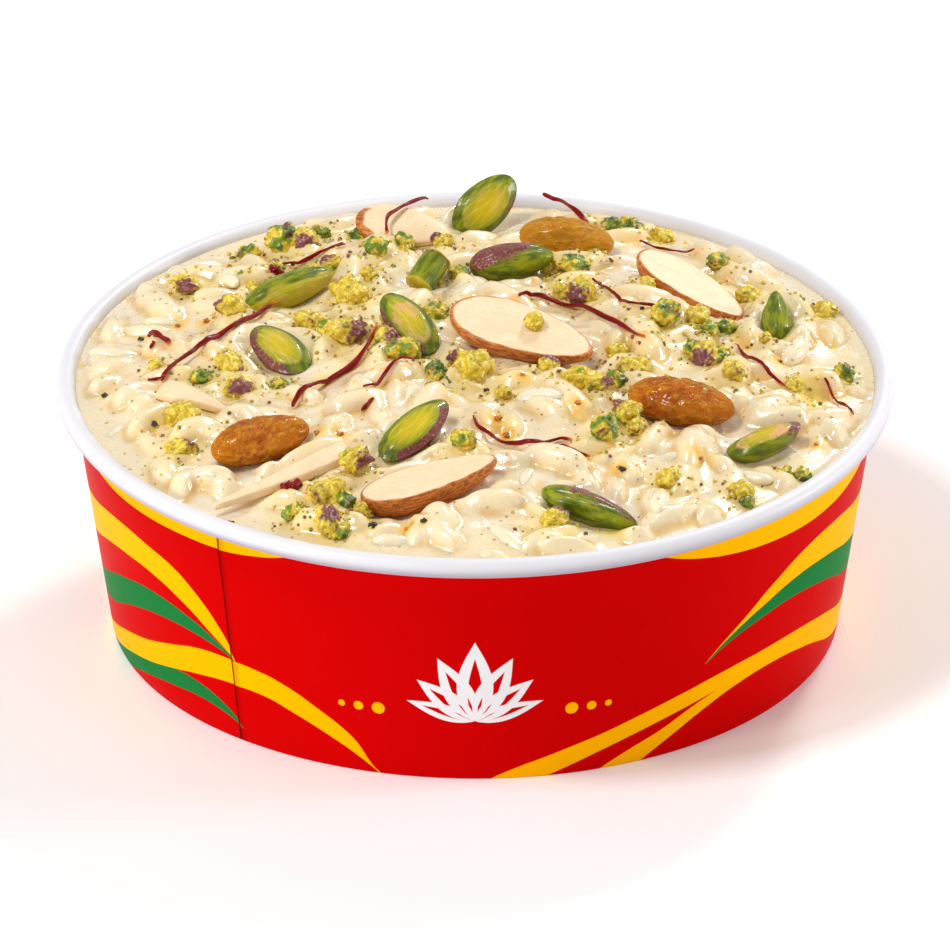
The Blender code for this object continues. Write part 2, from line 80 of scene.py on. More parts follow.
@dataclass(frozen=True)
class BowlPlan:
    """The sizes of the paper bowl, in metres unless the name says otherwise."""

    rim_radius: float = 75.0 * MM
    height: float = 47.6 * MM
    roll_radius: float = 1.75 * MM
    foot_radius: float = 65.4 * MM
    wall: float = 0.6 * MM
    hem: float = 1.6 * MM
    hem_height: float = 3.1 * MM
    foot_rounding: float = 0.3 * MM
    roll_end_deg: float = -137.0
    seam_deg: float = -39.2
    lap_width: float = 7.0 * MM
    lap_proud: float = 0.32 * MM
    segments: int = 256

    @property
    def slope(self) -> float:
        """How much the wall's radius grows with height."""
        top = self.rim_radius - 2 * self.roll_radius + self.wall
        return (top - self.foot_radius) / (self.height - self.roll_radius)

    def wall_radius(self, height: float) -> float:
        """The outer radius of the wall at a height."""
        return self.foot_radius + self.slope * height


@dataclass(frozen=True)
class PuddingPlan:
    """The sizes of the pudding's heap, in metres."""

    bowl: BowlPlan = BowlPlan()
    depth_below_rim: float = 2.0 * MM
    mound_rise: float = 5.6 * MM
    mound_centre_y: float = 4.0 * MM
    lump_size: float = 15.0 * MM
    lump_rise: float = 2.3 * MM
    curd_size: float = 5.5 * MM
    curd_rise: float = 1.3 * MM
    calm_edge: float = 9.0 * MM
    bottom: float = 4.4 * MM
    solid_gap: float = 0.4 * MM

    @property
    def fill_level(self) -> float:
        """The height at which the pudding meets the wall."""
        return self.bowl.height - self.depth_below_rim

    def reach(self, height: float) -> float:
        """How far the solid pudding reaches at a height."""
        return self.bowl.wall_radius(height) - self.bowl.wall - self.solid_gap

    def bare_height(self, x: float, y: float) -> float:
        """The height of the bare heap: its mound, lumps and curds.

        Args:
            x: place across, in metres.
            y: place in depth, in metres.

        Returns:
            The height above the table, in metres.
        """
        reach = self.reach(self.fill_level)
        distance = min(math.hypot(x, y) / reach, 1.0)
        off_centre = min(math.hypot(x, y - self.mound_centre_y * (1.0 - distance)) / reach, 1.0)
        mound = self.mound_rise * (1.0 - off_centre**2.6)
        calm = min(1.0, (1.0 - distance) * reach / self.calm_edge)
        lumps = self.lump_rise * noise.noise(Vector((x / self.lump_size, y / self.lump_size, 0.3)))
        curds = self.curd_rise * noise.noise(Vector((x / self.curd_size, y / self.curd_size, 7.1)))
        return self.fill_level + mound + (0.25 + 0.75 * calm) * (lumps + curds)


class Shape(Enum):
    """The shapes of the separate nuts and raisins."""

    ALMOND_HALF = "almond_half"
    ALMOND_SLICE = "almond_slice"
    ALMOND_SLIVER = "almond_sliver"
    PISTACHIO_HALF = "pistachio_half"
    PISTACHIO_WHOLE = "pistachio_whole"
    PISTACHIO_CHUNK = "pistachio_chunk"
    PISTACHIO_CHIP = "pistachio_chip"
    RAISIN = "raisin"


@dataclass(frozen=True)
class Topping:
    """A nut or raisin. Its sizes are in millimetres and its angles in degrees.

    The skin that clings to it is given by its amount in the middle, and how much it grows
    towards the nut's +X end and towards its +Y flank. The cut is given by how much its face
    leans back, how pink it is, and how much of the -Y flank is cut too. On a raisin its second
    number is added all over to the painted highlight on its wrinkle ridges, making it more golden.
    """

    node: str
    shape: Shape
    x: float
    y: float
    size: tuple[float, float, float]
    yaw: float
    pitch: float
    roll: float
    lift: float
    skin: tuple[float, float, float] = (0.0, 0.0, 0.0)
    cut: tuple[float, float, float] = (0.0, 0.0, 0.0)

    def place(self, heap: PuddingPlan) -> Matrix:
        """The topping's place on the heap, from its own axes.

        Args:
            heap: the pudding that it lies on.

        Returns:
            The matrix from its long axis X and upward cut face Z to the row frame.
        """
        x, y = self.x * MM, self.y * MM
        return (
            Matrix.Translation((x, y, heap.bare_height(x, y) + self.lift * MM))
            @ Matrix.Rotation(math.radians(self.yaw), 4, "Z")
            @ Matrix.Rotation(math.radians(-self.pitch), 4, "Y")
            @ Matrix.Rotation(math.radians(self.roll), 4, "X")
        )


TOPPINGS = (
    Topping("almond_half_centre", Shape.ALMOND_HALF, 8.4, 3.0, (28.0, 13.0, 5.0), -26, -7, 10, 2.9),
    Topping("almond_half_right", Shape.ALMOND_HALF, 39.0, 29.0, (24.5, 10.8, 4.8), -42, -13, -8, 3.0),
    Topping("almond_half_front", Shape.ALMOND_HALF, -8.1, -49.8, (25.5, 9.8, 5.4), 19, 9, 1, 2.6),
    Topping("almond_slice_back", Shape.ALMOND_SLICE, -13.4, 53.0, (17.0, 9.0, 2.2), -14, -5, 20, 1.6),
    Topping("almond_sliver_front", Shape.ALMOND_SLIVER, -34.3, -45.1, (28.0, 4.8, 2.8), 213, -7, -8, 0.7),
    Topping("almond_sliver_left", Shape.ALMOND_SLIVER, -49.9, -13.0, (13.5, 5.2, 2.4), -31, -4, 8, 0.5),
    Topping(
        "pistachio_half_back", Shape.PISTACHIO_HALF, 2.0, 60.5, (14.8, 8.6, 4.8), 36, 30, 58, 4.8,
        (-0.25, 0.2, -0.6), (0.0, 0.15, 0.0),
    ),
    Topping(
        "pistachio_whole_back", Shape.PISTACHIO_WHOLE, 6.6, 34.6, (15.5, 7.2, 6.6), 8, 5, 10, 2.1,
        (0.22, -0.45, 0.35),
    ),
    Topping(
        "pistachio_chunk", Shape.PISTACHIO_CHUNK, -8.5, 29.0, (7.6, 5.4, 5.2), 56, 26, 0, 2.2,
        (-0.05, 0.35, -0.2), (0.0, 0.3, 0.0),
    ),
    Topping(
        "pistachio_half_middle", Shape.PISTACHIO_HALF, -11.9, 7.4, (16.5, 7.8, 4.6), 122, 18, -14, 2.4,
        (0.0, -0.2, 0.50), (0.0, 0.55, 0.0),
    ),
    Topping(
        "pistachio_piece_left", Shape.PISTACHIO_WHOLE, -33.5, 27.2, (18.0, 6.8, 6.2), 28, 10, 12, 1.8,
        (-0.30, -0.15, -0.1), (0.0, 0.25, 1.0),
    ),
    Topping(
        "pistachio_half_left", Shape.PISTACHIO_HALF, -35.0, 0.9, (14.8, 8.2, 4.6), 128, 12, -14, 2.0,
        (0.05, 0.1, 0.75), (0.0, 0.2, 0.0),
    ),
    Topping(
        "pistachio_half_front", Shape.PISTACHIO_HALF, -10.8, -33.2, (17.0, 7.6, 5.0), 46, 19, 14, 2.4,
        (0.02, 0.1, -0.75),
    ),
    Topping(
        "pistachio_piece_right", Shape.PISTACHIO_CHIP, 54.3, 18.9, (12.0, 5.4, 4.8), 92, 25, 8, 1.7,
        (-0.45, 0.0, 0.0),
    ),
    Topping(
        "pistachio_half_right", Shape.PISTACHIO_HALF, 51.2, -30.0, (14.8, 7.0, 5.0), 30, 10, 18, 2.0,
        (0.0, 0.55, 0.1), (0.45, 0.9, 0.0),
    ),
    Topping(
        "pistachio_piece_front", Shape.PISTACHIO_WHOLE, 20.1, -55.2, (18.5, 5.8, 5.6), -24, -10, 0, 1.5,
        (0.10, 0.20, 0.45),
    ),
    Topping("raisin_left", Shape.RAISIN, -38.0, -34.6, (18.5, 9.2, 7.6), 22, 6, 18, 2.1),
    Topping("raisin_right", Shape.RAISIN, 36.7, -19.9, (19.5, 9.8, 7.8), -14, -4, 14, 2.3),
    Topping(
        "raisin_back", Shape.RAISIN, 16.6, 45.4, (17.5, 8.6, 7.2), -12, -2, 22, 2.0, cut=(0.0, 0.45, 0.0)
    ),
)


class Hue(Enum):
    """The colour that leads in a crumb of pistachio: its green and its purple share."""

    YELLOW = (0.22, 0.05)
    GREEN = (0.66, 0.08)
    PURPLE = (0.35, 0.62)


Y, G, P = Hue.YELLOW, Hue.GREEN, Hue.PURPLE

# Crumbs: x, y and breadth in millimetres, and the leading colour
CRUMBS = (
    (-35, 50, 7.0, G), (-31, 48, 5.0, P), (-28, 55, 3.8, G), (-41, 50, 4.0, G), (-52, 31, 5.0, P),
    (-44, 17, 5.4, P), (-30, 15, 5.2, Y), (-23, 24, 6.0, Y), (-21, 20, 5.0, Y), (-23, 4, 6.8, P),
    (-26, 7, 4.6, G), (-44, -2, 5.6, Y), (-42, -11, 5.6, P), (-49, -6, 4.2, G), (-3, 32, 4.8, G),
    (-13, 46, 5.0, G), (-18, 40, 4.6, G), (-21, 54, 4.5, G), (-6, 47, 4.6, P), (-7, 14, 4.6, G),
    (19, 23, 6.6, P), (16, 25, 4.4, Y), (18, 34, 5.6, G), (14, 36, 4.0, Y), (25.5, 0.5, 4.2, Y),
    (28.5, -6, 5.6, Y), (0, -9, 7.8, Y), (-3, -3, 3.6, P), (-7, -8, 4.4, G), (13, -7, 4.2, P),
    (19, -11, 6.8, Y), (22, -14, 4.4, P), (25, -9, 4.6, G), (-16, 3, 5.0, P), (-13, -1, 6.4, G),
    (-23, 21, 4.4, Y), (44, 40, 4.2, G), (49, 30, 4.4, Y), (40, 14, 6.0, Y), (34, 11, 6.0, G),
    (45, 14, 4.0, G), (42, 9, 3.4, G), (41, 1, 7.0, P), (39, 3, 4.6, G), (44, 2, 4.6, G), (63, 26, 4.6, Y),
    (66, 0, 4.6, G), (28, 57, 5.6, G), (25, 60, 4.2, G), (34, 56, 4.6, Y), (46, -10, 4.6, Y),
    (-52, -20, 6.8, Y), (-52, -33, 5.8, P), (-26, -51, 7.6, Y), (-23, -53, 4.4, G), (-32, -57, 4.2, G),
    (-26, -61, 5.6, P), (-24, -62, 4.4, G), (-21, -42, 5.4, P), (-2, -38, 4.8, G), (-20, -55, 4.6, Y),
    (14, -60, 5.6, P), (23, -34, 6.2, G), (27, -25.5, 6.0, P), (28.5, -29, 4.0, Y), (34, -46, 4.8, Y),
    (47, -47, 4.8, Y), (48, -49, 3.2, G), (58, -38, 3.4, G), (55, -39, 2.6, G), (-26, 37, 4.6, P),
    (-29, 35, 3.4, Y), (57, -11, 4.0, Y), (-19, 29, 3.4, Y), (5, -17, 3.2, Y), (-36, 36, 3.4, P),
    (9, 40, 3.6, Y), (22, 40, 3.4, G), (-15, 12, 4.0, Y), (31, 26, 3.0, Y), (52, 8, 2.8, Y),
    (-57, -1, 2.8, Y), (-35, -9, 3.2, G), (-40, 30, 3.0, Y),
)

# The crumb that lies on the middle almond: x, y, breadth and height above the heap, in millimetres
CRUMB_ON_ALMOND = (10.5, 3.2, 4.0, 5.2)

# Dark specks: x, y and breadth in millimetres
SPECKS = (
    (-66, -8, 1.4), (-57, -22, 1.4), (-43, -56, 1.2), (26, -45, 1.4), (58, -39, 1.6), (-60, 14, 1.2),
    (-18, -61, 1.6), (-9, -62, 1.3), (2, -14, 1.1), (61, -38, 1.3), (30, 12, 0.9), (-33, 40, 0.9),
)

# Brown flecks that stain the milk round them: x, y and breadth in millimetres
FLECKS = (
    (-52.8, 32.2, 0.9), (-53.4, 17.8, 1.0), (-48.3, 17.1, 1.3), (-28.0, -32.2, 1.2), (-23.9, -32.5, 1.3),
    (4.1, -28.1, 1.5), (5.6, -30.9, 1.4), (18.2, -24.5, 1.2), (54.6, 2.6, 0.8), (25.4, -44.3, 1.0),
    (39.8, -37.7, 1.0), (48.8, 7.5, 0.7), (60.5, -27.8, 0.8), (-30.6, -36.0, 0.8), (-12.0, -61.5, 1.0),
    (30.5, -16.5, 1.0), (8.5, -12.0, 0.9), (-44.5, 44.0, 0.9),
)

# Grains that saffron or nut has soaked: x, y and spread in millimetres
SOAKED = (
    (59.5, -11.5, 2.8), (-27.5, -9.0, 1.6), (-40.0, 20.5, 1.8), (24.0, -60.5, 2.0), (-6.0, 52.0, 2.4),
    (15.0, 31.0, 2.0),
)

# Saffron threads: breadth, then x, y and height above what lies there, all in millimetres
THREADS = (
    (1.3, (
        (-56.4, -8.1, 0.2), (-53.5, -3.0, 0.4), (-49.0, 3.0, 0.6), (-45.8, 6.6, 0.6), (-43.0, 9.2, 0.6),
        (-40.5, 13.4, 0.6), (-37.7, 17.8, 0.6), (-35.1, 23.0, 0.8),
    )),
    (0.7, ((-55.3, -6.3, 0.3), (-57.3, -6.8, 0.2), (-58.7, -6.9, 0.1))),
    (0.9, ((-36.4, 36.6, 0.2), (-31.6, 39.6, 0.5), (-27.7, 41.4, 0.4), (-22.5, 46.0, 0.6))),
    (1.0, (
        (-8, 65, 3.6), (-11, 58.5, 5.2), (-14, 54.5, 5.6), (-16, 51.5, 4.4), (-16, 48.5, 1.6), (-16, 46, 0.2),
    )),
    (1.2, ((11.8, 66.5, 4.4), (14.6, 65.0, 3.0), (17.3, 61.0, 1.5), (19.9, 57.0, 0.8), (22.1, 53.0, 0.5))),
    (0.65, (
        (29.6, 52.1, 0.2), (31.3, 48.6, 0.5), (33.3, 46.2, 0.6), (35.6, 44.6, 0.6), (37.9, 45.3, 0.6),
        (40.3, 47.4, 0.8),
    )),
    (0.85, (
        (20.7, 29.1, 0.4), (22.7, 26.5, 0.6), (24.7, 21.4, 0.6), (26.7, 16.0, 0.5), (28.7, 12.8, 0.5),
        (31.2, 12.6, 0.5), (33.5, 14.3, 0.5), (35.8, 14.8, 0.4),
    )),
    (1.2, (
        (7.5, 17.9, 0.4), (9.6, 21.0, 0.5), (11.6, 21.9, 0.5), (14.6, 21.0, 0.6), (17.6, 18.6, 0.6),
        (20.6, 14.5, 0.6), (23.6, 11.0, 0.6), (26.6, 6.1, 0.6), (28.6, 2.6, 0.5), (30.8, -0.2, 0.3),
    )),
    (1.3, (
        (-32.8, -20.5, 0.1), (-31.2, -16.6, 0.5), (-29, -14, 0.5), (-26.8, -10.8, 0.5), (-24.5, -8.7, 0.6),
        (-22.5, -6.9, 0.6), (-20.9, -4.7, 0.8), (-19.6, -2.0, 1.0), (-18.5, 1.6, 1.4), (-17.2, 5.0, 2.0),
    )),
    (0.8, (
        (-20.2, -18.0, 0.2), (-18.6, -17.8, 0.4), (-17.2, -16.4, 0.5), (-15.4, -13.4, 0.5),
        (-13.6, -10.6, 0.6), (-12.0, -9.0, 0.8), (-10.7, -7.8, 0.8),
    )),
    (0.9, ((-20.4, -24.6, 0.1), (-19.0, -23.2, 0.3), (-17.8, -21.8, 0.2))),
    (1.05, (
        (-0.4, -26.5, 0.2), (0.3, -29.0, 0.4), (1.6, -31.4, 0.5), (3.7, -33.2, 0.6), (5.9, -34.8, 0.6),
        (8.2, -36.6, 0.7), (10.0, -37.4, 0.8), (12.0, -36.3, 0.8), (13.8, -33.8, 0.7), (15.4, -33.0, 0.6),
        (16.5, -33.6, 0.5), (17.2, -36.5, 0.3),
    )),
    (0.9, (
        (12.2, -36.9, 0.5), (14.0, -37.6, 0.4), (16.1, -39.4, 0.5), (18.1, -40.6, 0.6), (20.8, -41.9, 0.5),
    )),
    (0.95, (
        (47.0, 8.4, 0.3), (47.6, 4.9, 0.5), (48.7, 0.6, 0.6), (50.2, -3.6, 0.6), (52.0, -6.6, 0.6),
        (53.8, -9.0, 0.5), (56.3, -12.4, 0.2),
    )),
    (0.7, ((62.0, -8.6, 0.2), (63.6, -9.6, 0.4), (65.2, -11.6, 0.5), (66.4, -15.2, 0.4), (67.6, -17.8, 0.2))),
    (1.5, ((-58.8, 13.0, 0.2), (-57.0, 8.6, 0.3), (-54.1, 5.4, 0.1))),
    (0.9, ((-58.4, 5.0, 0.1), (-57.2, 6.6, 0.3))),
    (2.2, ((-37.4, 33.9, 0.1), (-35.9, 34.3, 0.3), (-34.4, 34.3, 0.1))),
    (2.6, ((-34.2, -50.6, 0.3), (-32.4, -48.6, 0.6), (-30.4, -46.6, 0.3))),
)

# Grains that lie high: x, y, length, breadth, turn in degrees and how far up, all sizes in millimetres
GRAINS = (
    (37.9, -34.0, 12.5, 4.6, 88, 1.7), (31.5, -31.5, 13.0, 4.8, 68, 1.3),
    (42.6, -35.0, 13.0, 4.6, -66, 1.4), (7.5, -11.0, 7.5, 6.2, 10, 1.1), (16.3, -19.5, 15.0, 6.0, -60, 1.2),
    (14.4, -42.0, 13.0, 5.8, -28, 1.2), (-15.3, -11.5, 9.5, 4.8, 30, 1.1),
    (-49.5, -26.5, 9.5, 6.0, 20, 1.2), (-20.8, -20.5, 13.0, 6.2, 25, 1.3), (-41.3, 33.5, 11.5, 5.2, 8, 1.2),
    (-61.5, -9.0, 9.0, 4.6, 60, 1.0), (-57.5, -19.0, 12.0, 4.8, 50, 1.1), (46.3, -6.5, 9.0, 6.0, 85, 1.3),
    (3.0, -54.0, 12.0, 6.0, 8, 1.1), (52.0, -18.0, 10.0, 5.4, 40, 1.0),
)


# Shader building


class Graph:
    """Adds nodes to a shader tree and joins them. A value may be a number or a socket."""

    def __init__(self, tree: Group) -> None:
        """Keeps the tree that nodes are added to."""
        self.tree = tree

    def node(self, kind: str, **settings: object) -> Node:
        """Adds a node and sets its options.

        Args:
            kind: the node's type.
            **settings: the node's own properties.

        Returns:
            The node.
        """
        added = self.tree.nodes.new(kind)
        for name, value in settings.items():
            setattr(added, name, value)
        return added

    def feed(self, socket: Socket, value: object) -> None:
        """Joins a socket to a value: by a link from a socket, or as its own number or colour.

        Args:
            socket: the input that is fed.
            value: a socket, number, vector or colour.
        """
        if isinstance(value, Socket):
            self.tree.links.new(value, socket)
        elif isinstance(value, tuple) and len(value) == 3 and socket.type == "RGBA":
            socket.default_value = (*value, 1.0)
        else:
            socket.default_value = value

    def made(self, kind: str, output: int | str, given: dict, **settings: object) -> Socket:
        """Adds a node with its inputs fed.

        Args:
            kind: the node's type.
            output: the name or number of the output that is wanted.
            given: what goes into its inputs, by their names or numbers.
            **settings: the node's own properties.

        Returns:
            The socket of that output.
        """
        added = self.node(kind, **settings)
        for key, value in given.items():
            self.feed(added.inputs[key], value)
        return added.outputs[output]

    def math(self, operation: str, *values: Value, clamp: bool = False) -> Socket:
        """A Math node of up to three values."""
        return self.made("ShaderNodeMath", 0, dict(enumerate(values)), operation=operation, use_clamp=clamp)

    def times(self, first: Value, second: Value) -> Socket:
        """The product of two values."""
        return self.math("MULTIPLY", first, second)

    def minus(self, first: Value, second: Value, clamp: bool = False) -> Socket:
        """The first value less the second."""
        return self.math("SUBTRACT", first, second, clamp=clamp)

    def length(self, first: Value, second: Value) -> Socket:
        """The length of a flat vector from its two parts."""
        return self.math("SQRT", self.math("ADD", self.times(first, first), self.times(second, second)))

    def vector(self, operation: str, *values: object) -> Socket:
        """A Vector Math node that gives a vector."""
        return self.made("ShaderNodeVectorMath", 0, dict(enumerate(values)), operation=operation)

    def step(self, value: Value, low: float, high: float) -> Socket:
        """A soft step from 0 at low to 1 at high."""
        given = {"Value": value, "From Min": low, "From Max": high}
        return self.made("ShaderNodeMapRange", "Result", given, interpolation_type="SMOOTHSTEP")

    def mix(self, factor: Value, first: object, second: object) -> Socket:
        """A colour between two."""
        return self.made("ShaderNodeMix", 2, {0: factor, 6: first, 7: second}, data_type="RGBA")

    def between(self, factor: Value, first: Value, second: Value) -> Socket:
        """A number between two."""
        return self.made("ShaderNodeMix", 0, {0: factor, 2: first, 3: second}, data_type="FLOAT")

    def noise(self, place: object, scale: Value, detail: float = 2.0, rough: float = 0.5) -> Socket:
        """Cloudy noise from 0 to 1."""
        given = {"Vector": place, "Scale": scale, "Detail": detail, "Roughness": rough}
        return self.made("ShaderNodeTexNoise", "Fac", given)

    def cells(self, place: object, scale: Value, output: str = "Distance") -> Socket:
        """Voronoi cells: the distance from their middles, or a colour for each."""
        return self.made("ShaderNodeTexVoronoi", output, {"Vector": place, "Scale": scale})

    def own(self, name: str, output: str = "Fac") -> Socket:
        """An attribute that the piece's mesh carries."""
        return self.made("ShaderNodeAttribute", output, {}, attribute_name=name)

    def object_place(self) -> Socket:
        """Object coordinates, in metres."""
        return self.node("ShaderNodeTexCoord").outputs["Object"]

    def split(self, vector: Socket) -> tuple[Socket, ...]:
        """The X, Y and Z of a vector."""
        return tuple(self.made("ShaderNodeSeparateXYZ", 0, {0: vector}).node.outputs)

    def curve(self, value: Value, points: Points) -> Socket:
        """A smooth curve through given points, of a value from 0 to 1.

        Args:
            value: where on the curve.
            points: what the curve passes through.

        Returns:
            The curve's height there.
        """
        made = self.node("ShaderNodeFloatCurve")
        line = made.mapping.curves[0]
        for index, (x, y) in enumerate(points):
            if index < 2:
                line.points[index].location = (x, y)
            else:
                line.points.new(x, y)
        made.mapping.extend = "HORIZONTAL"
        made.mapping.update()
        self.feed(made.inputs["Value"], value)
        return made.outputs[0]

    def bump(self, height: Value, strength: float, distance: float, normal: object = None) -> Socket:
        """A Bump node, on top of another normal if there is one."""
        given = {"Height": height, "Strength": strength, "Distance": distance}
        return self.made("ShaderNodeBump", 0, given if normal is None else given | {"Normal": normal})

    def group(self, tree: Group, **values: object) -> Socket:
        """Places a shared group, with its inputs by name, and gives its first output."""
        return self.made("ShaderNodeGroup", 0, values, node_tree=tree)

    def dress(self, shader: Node, colour: Socket, roughness: Socket, normal: Socket) -> None:
        """Joins what varies over a finish to its shader."""
        for label, value in (("Base Color", colour), ("Roughness", roughness), ("Normal", normal)):
            self.feed(shader.inputs[label], value)


class Effects:
    """The shader groups that several finishes share, each built once."""

    def __init__(self) -> None:
        """Builds the groups."""
        self.band = self._band()
        self.petal = self._petal()
        self.specks = self._specks()
        self.fibres = self._fibres()

    @staticmethod
    def _new(name: str, inputs: dict[str, str], output: str) -> tuple[Graph, dict[str, Socket], Socket]:
        """Starts a group.

        Args:
            name: the group's name.
            inputs: the type of each input by its name.
            output: the name of its one number that it puts out.

        Returns:
            Its graph, its inputs by name, and the socket that its result goes to.
        """
        tree = bpy.data.node_groups.new(name, "ShaderNodeTree")
        for label, kind in inputs.items():
            tree.interface.new_socket(name=label, in_out="INPUT", socket_type=kind)
        tree.interface.new_socket(name=output, in_out="OUTPUT", socket_type="NodeSocketFloat")
        graph = Graph(tree)
        entry = graph.node("NodeGroupInput")
        leave = graph.node("NodeGroupOutput")
        return graph, {label: entry.outputs[label] for label in inputs}, leave.inputs[0]

    def _band(self) -> Group:
        """A printed band between a lower and an upper edge, from heights in millimetres.

        Returns:
            The group.
        """
        inputs = dict.fromkeys(("Height", "Lower", "Upper"), "NodeSocketFloat")
        graph, given, out = self._new("PrintedBand", inputs, "Mask")
        above = graph.step(graph.minus(given["Height"], given["Lower"]), -0.06, 0.06)
        below = graph.step(graph.minus(given["Upper"], given["Height"]), -0.06, 0.06)
        graph.feed(out, graph.times(above, below))
        return graph.tree

    def _petal(self) -> Group:
        """A pointed petal that leans from the foot of a flower, on a flat of X and Y in millimetres.

        Returns:
            The group.
        """
        inputs = dict.fromkeys(("X", "Y", "Lean", "Length", "Breadth"), "NodeSocketFloat")
        graph, given, out = self._new("Petal", inputs, "Mask")
        cosine, sine = graph.math("COSINE", given["Lean"]), graph.math("SINE", given["Lean"])
        across = graph.minus(graph.times(given["X"], cosine), graph.times(given["Y"], sine))
        along = graph.math("ADD", graph.times(given["X"], sine), graph.times(given["Y"], cosine))
        share = graph.math("DIVIDE", along, given["Length"], clamp=True)
        swell = graph.math("SINE", graph.times(graph.math("POWER", share, 0.8), math.pi))
        room = graph.times(swell, given["Breadth"])
        inside = graph.minus(room, graph.math("ABSOLUTE", across))
        graph.feed(out, graph.step(inside, 0.0, 0.12))
        return graph.tree

    def _specks(self) -> Group:
        """Scattered specks of uneven size: few where Amount is small.

        Returns:
            The group.
        """
        inputs = {"Vector": "NodeSocketVector", "Scale": "NodeSocketFloat", "Amount": "NodeSocketFloat"}
        graph, given, out = self._new("Specks", inputs, "Mask")
        distance = graph.cells(given["Vector"], given["Scale"])
        chance = graph.split(graph.cells(given["Vector"], given["Scale"], "Color"))[0]
        size = graph.times(graph.minus(given["Amount"], chance), 1.6)
        graph.feed(out, graph.step(graph.minus(size, distance), -0.01, 0.07))
        return graph.tree

    def _fibres(self) -> Group:
        """The faint cloudiness of paper: broad mottle under fine fibres.

        Returns:
            The group.
        """
        graph, given, out = self._new("PaperFibres", {"Vector": "NodeSocketVector"}, "Height")
        broad = graph.noise(given["Vector"], 260.0, 3.0)
        fine = graph.noise(given["Vector"], 2400.0, 2.0, 0.6)
        graph.feed(out, graph.between(0.35, broad, fine))
        return graph.tree


def new_material(name: str, **constants: object) -> tuple[Finish, Graph, Node]:
    """Starts a material.

    Args:
        name: its name.
        **constants: values that are the same all over, by the shader's socket with _ for a space.

    Returns:
        The material, its graph and its Principled shader.
    """
    material = bpy.data.materials.new(name)
    material.use_nodes = True
    shader = material.node_tree.nodes["Principled BSDF"]
    for label, value in constants.items():
        shader.inputs[label.replace("_", " ")].default_value = value
    return material, Graph(material.node_tree), shader


# Finishes


@dataclass(frozen=True)
class WhitePaper:
    """White food board with a thin gloss, and a painted shade that greys the lower outer side of the rolled
    rim.
    """

    name: str
    colour: Colour = (0.75, 0.735, 0.765)
    roughness: float = 0.42
    # under is the colour of the painted shade on the lower outer side of the roll; the next two spans are the
    # radius and the height over which that painted shade fades in.
    under: Colour = (0.39, 0.345, 0.42)
    painted_shade_reach: tuple[float, float] = (73.6 * MM, 74.8 * MM)
    painted_shade_height: tuple[float, float] = (44.4 * MM, 47.0 * MM)

    def material(self, effects: Effects) -> Finish:
        """Builds the material.

        Args:
            effects: the shared groups.

        Returns:
            The material.
        """
        material, graph, shader = new_material(
            self.name, Coat_Roughness=0.3, Coat_Weight=0.12, Specular_IOR_Level=0.3,
        )
        place = graph.object_place()
        fibres = graph.group(effects.fibres, Vector=place)
        tint = graph.mix(fibres, tuple(c * 0.965 for c in self.colour), self.colour)
        x, y, z = graph.split(place)
        # Painted shade: the outermost, lower side of the roll is greyed towards the under colour, as the
        # shade beneath the roll.
        outermost = graph.step(graph.length(x, y), *self.painted_shade_reach)
        under = graph.times(outermost, graph.minus(1.0, graph.step(z, *self.painted_shade_height)))
        tint = graph.mix(under, tint, self.under)
        graph.dress(
            shader,
            tint,
            graph.between(fibres, self.roughness - 0.05, self.roughness + 0.1),
            graph.bump(fibres, 0.12, 0.05 * MM),
        )
        return material


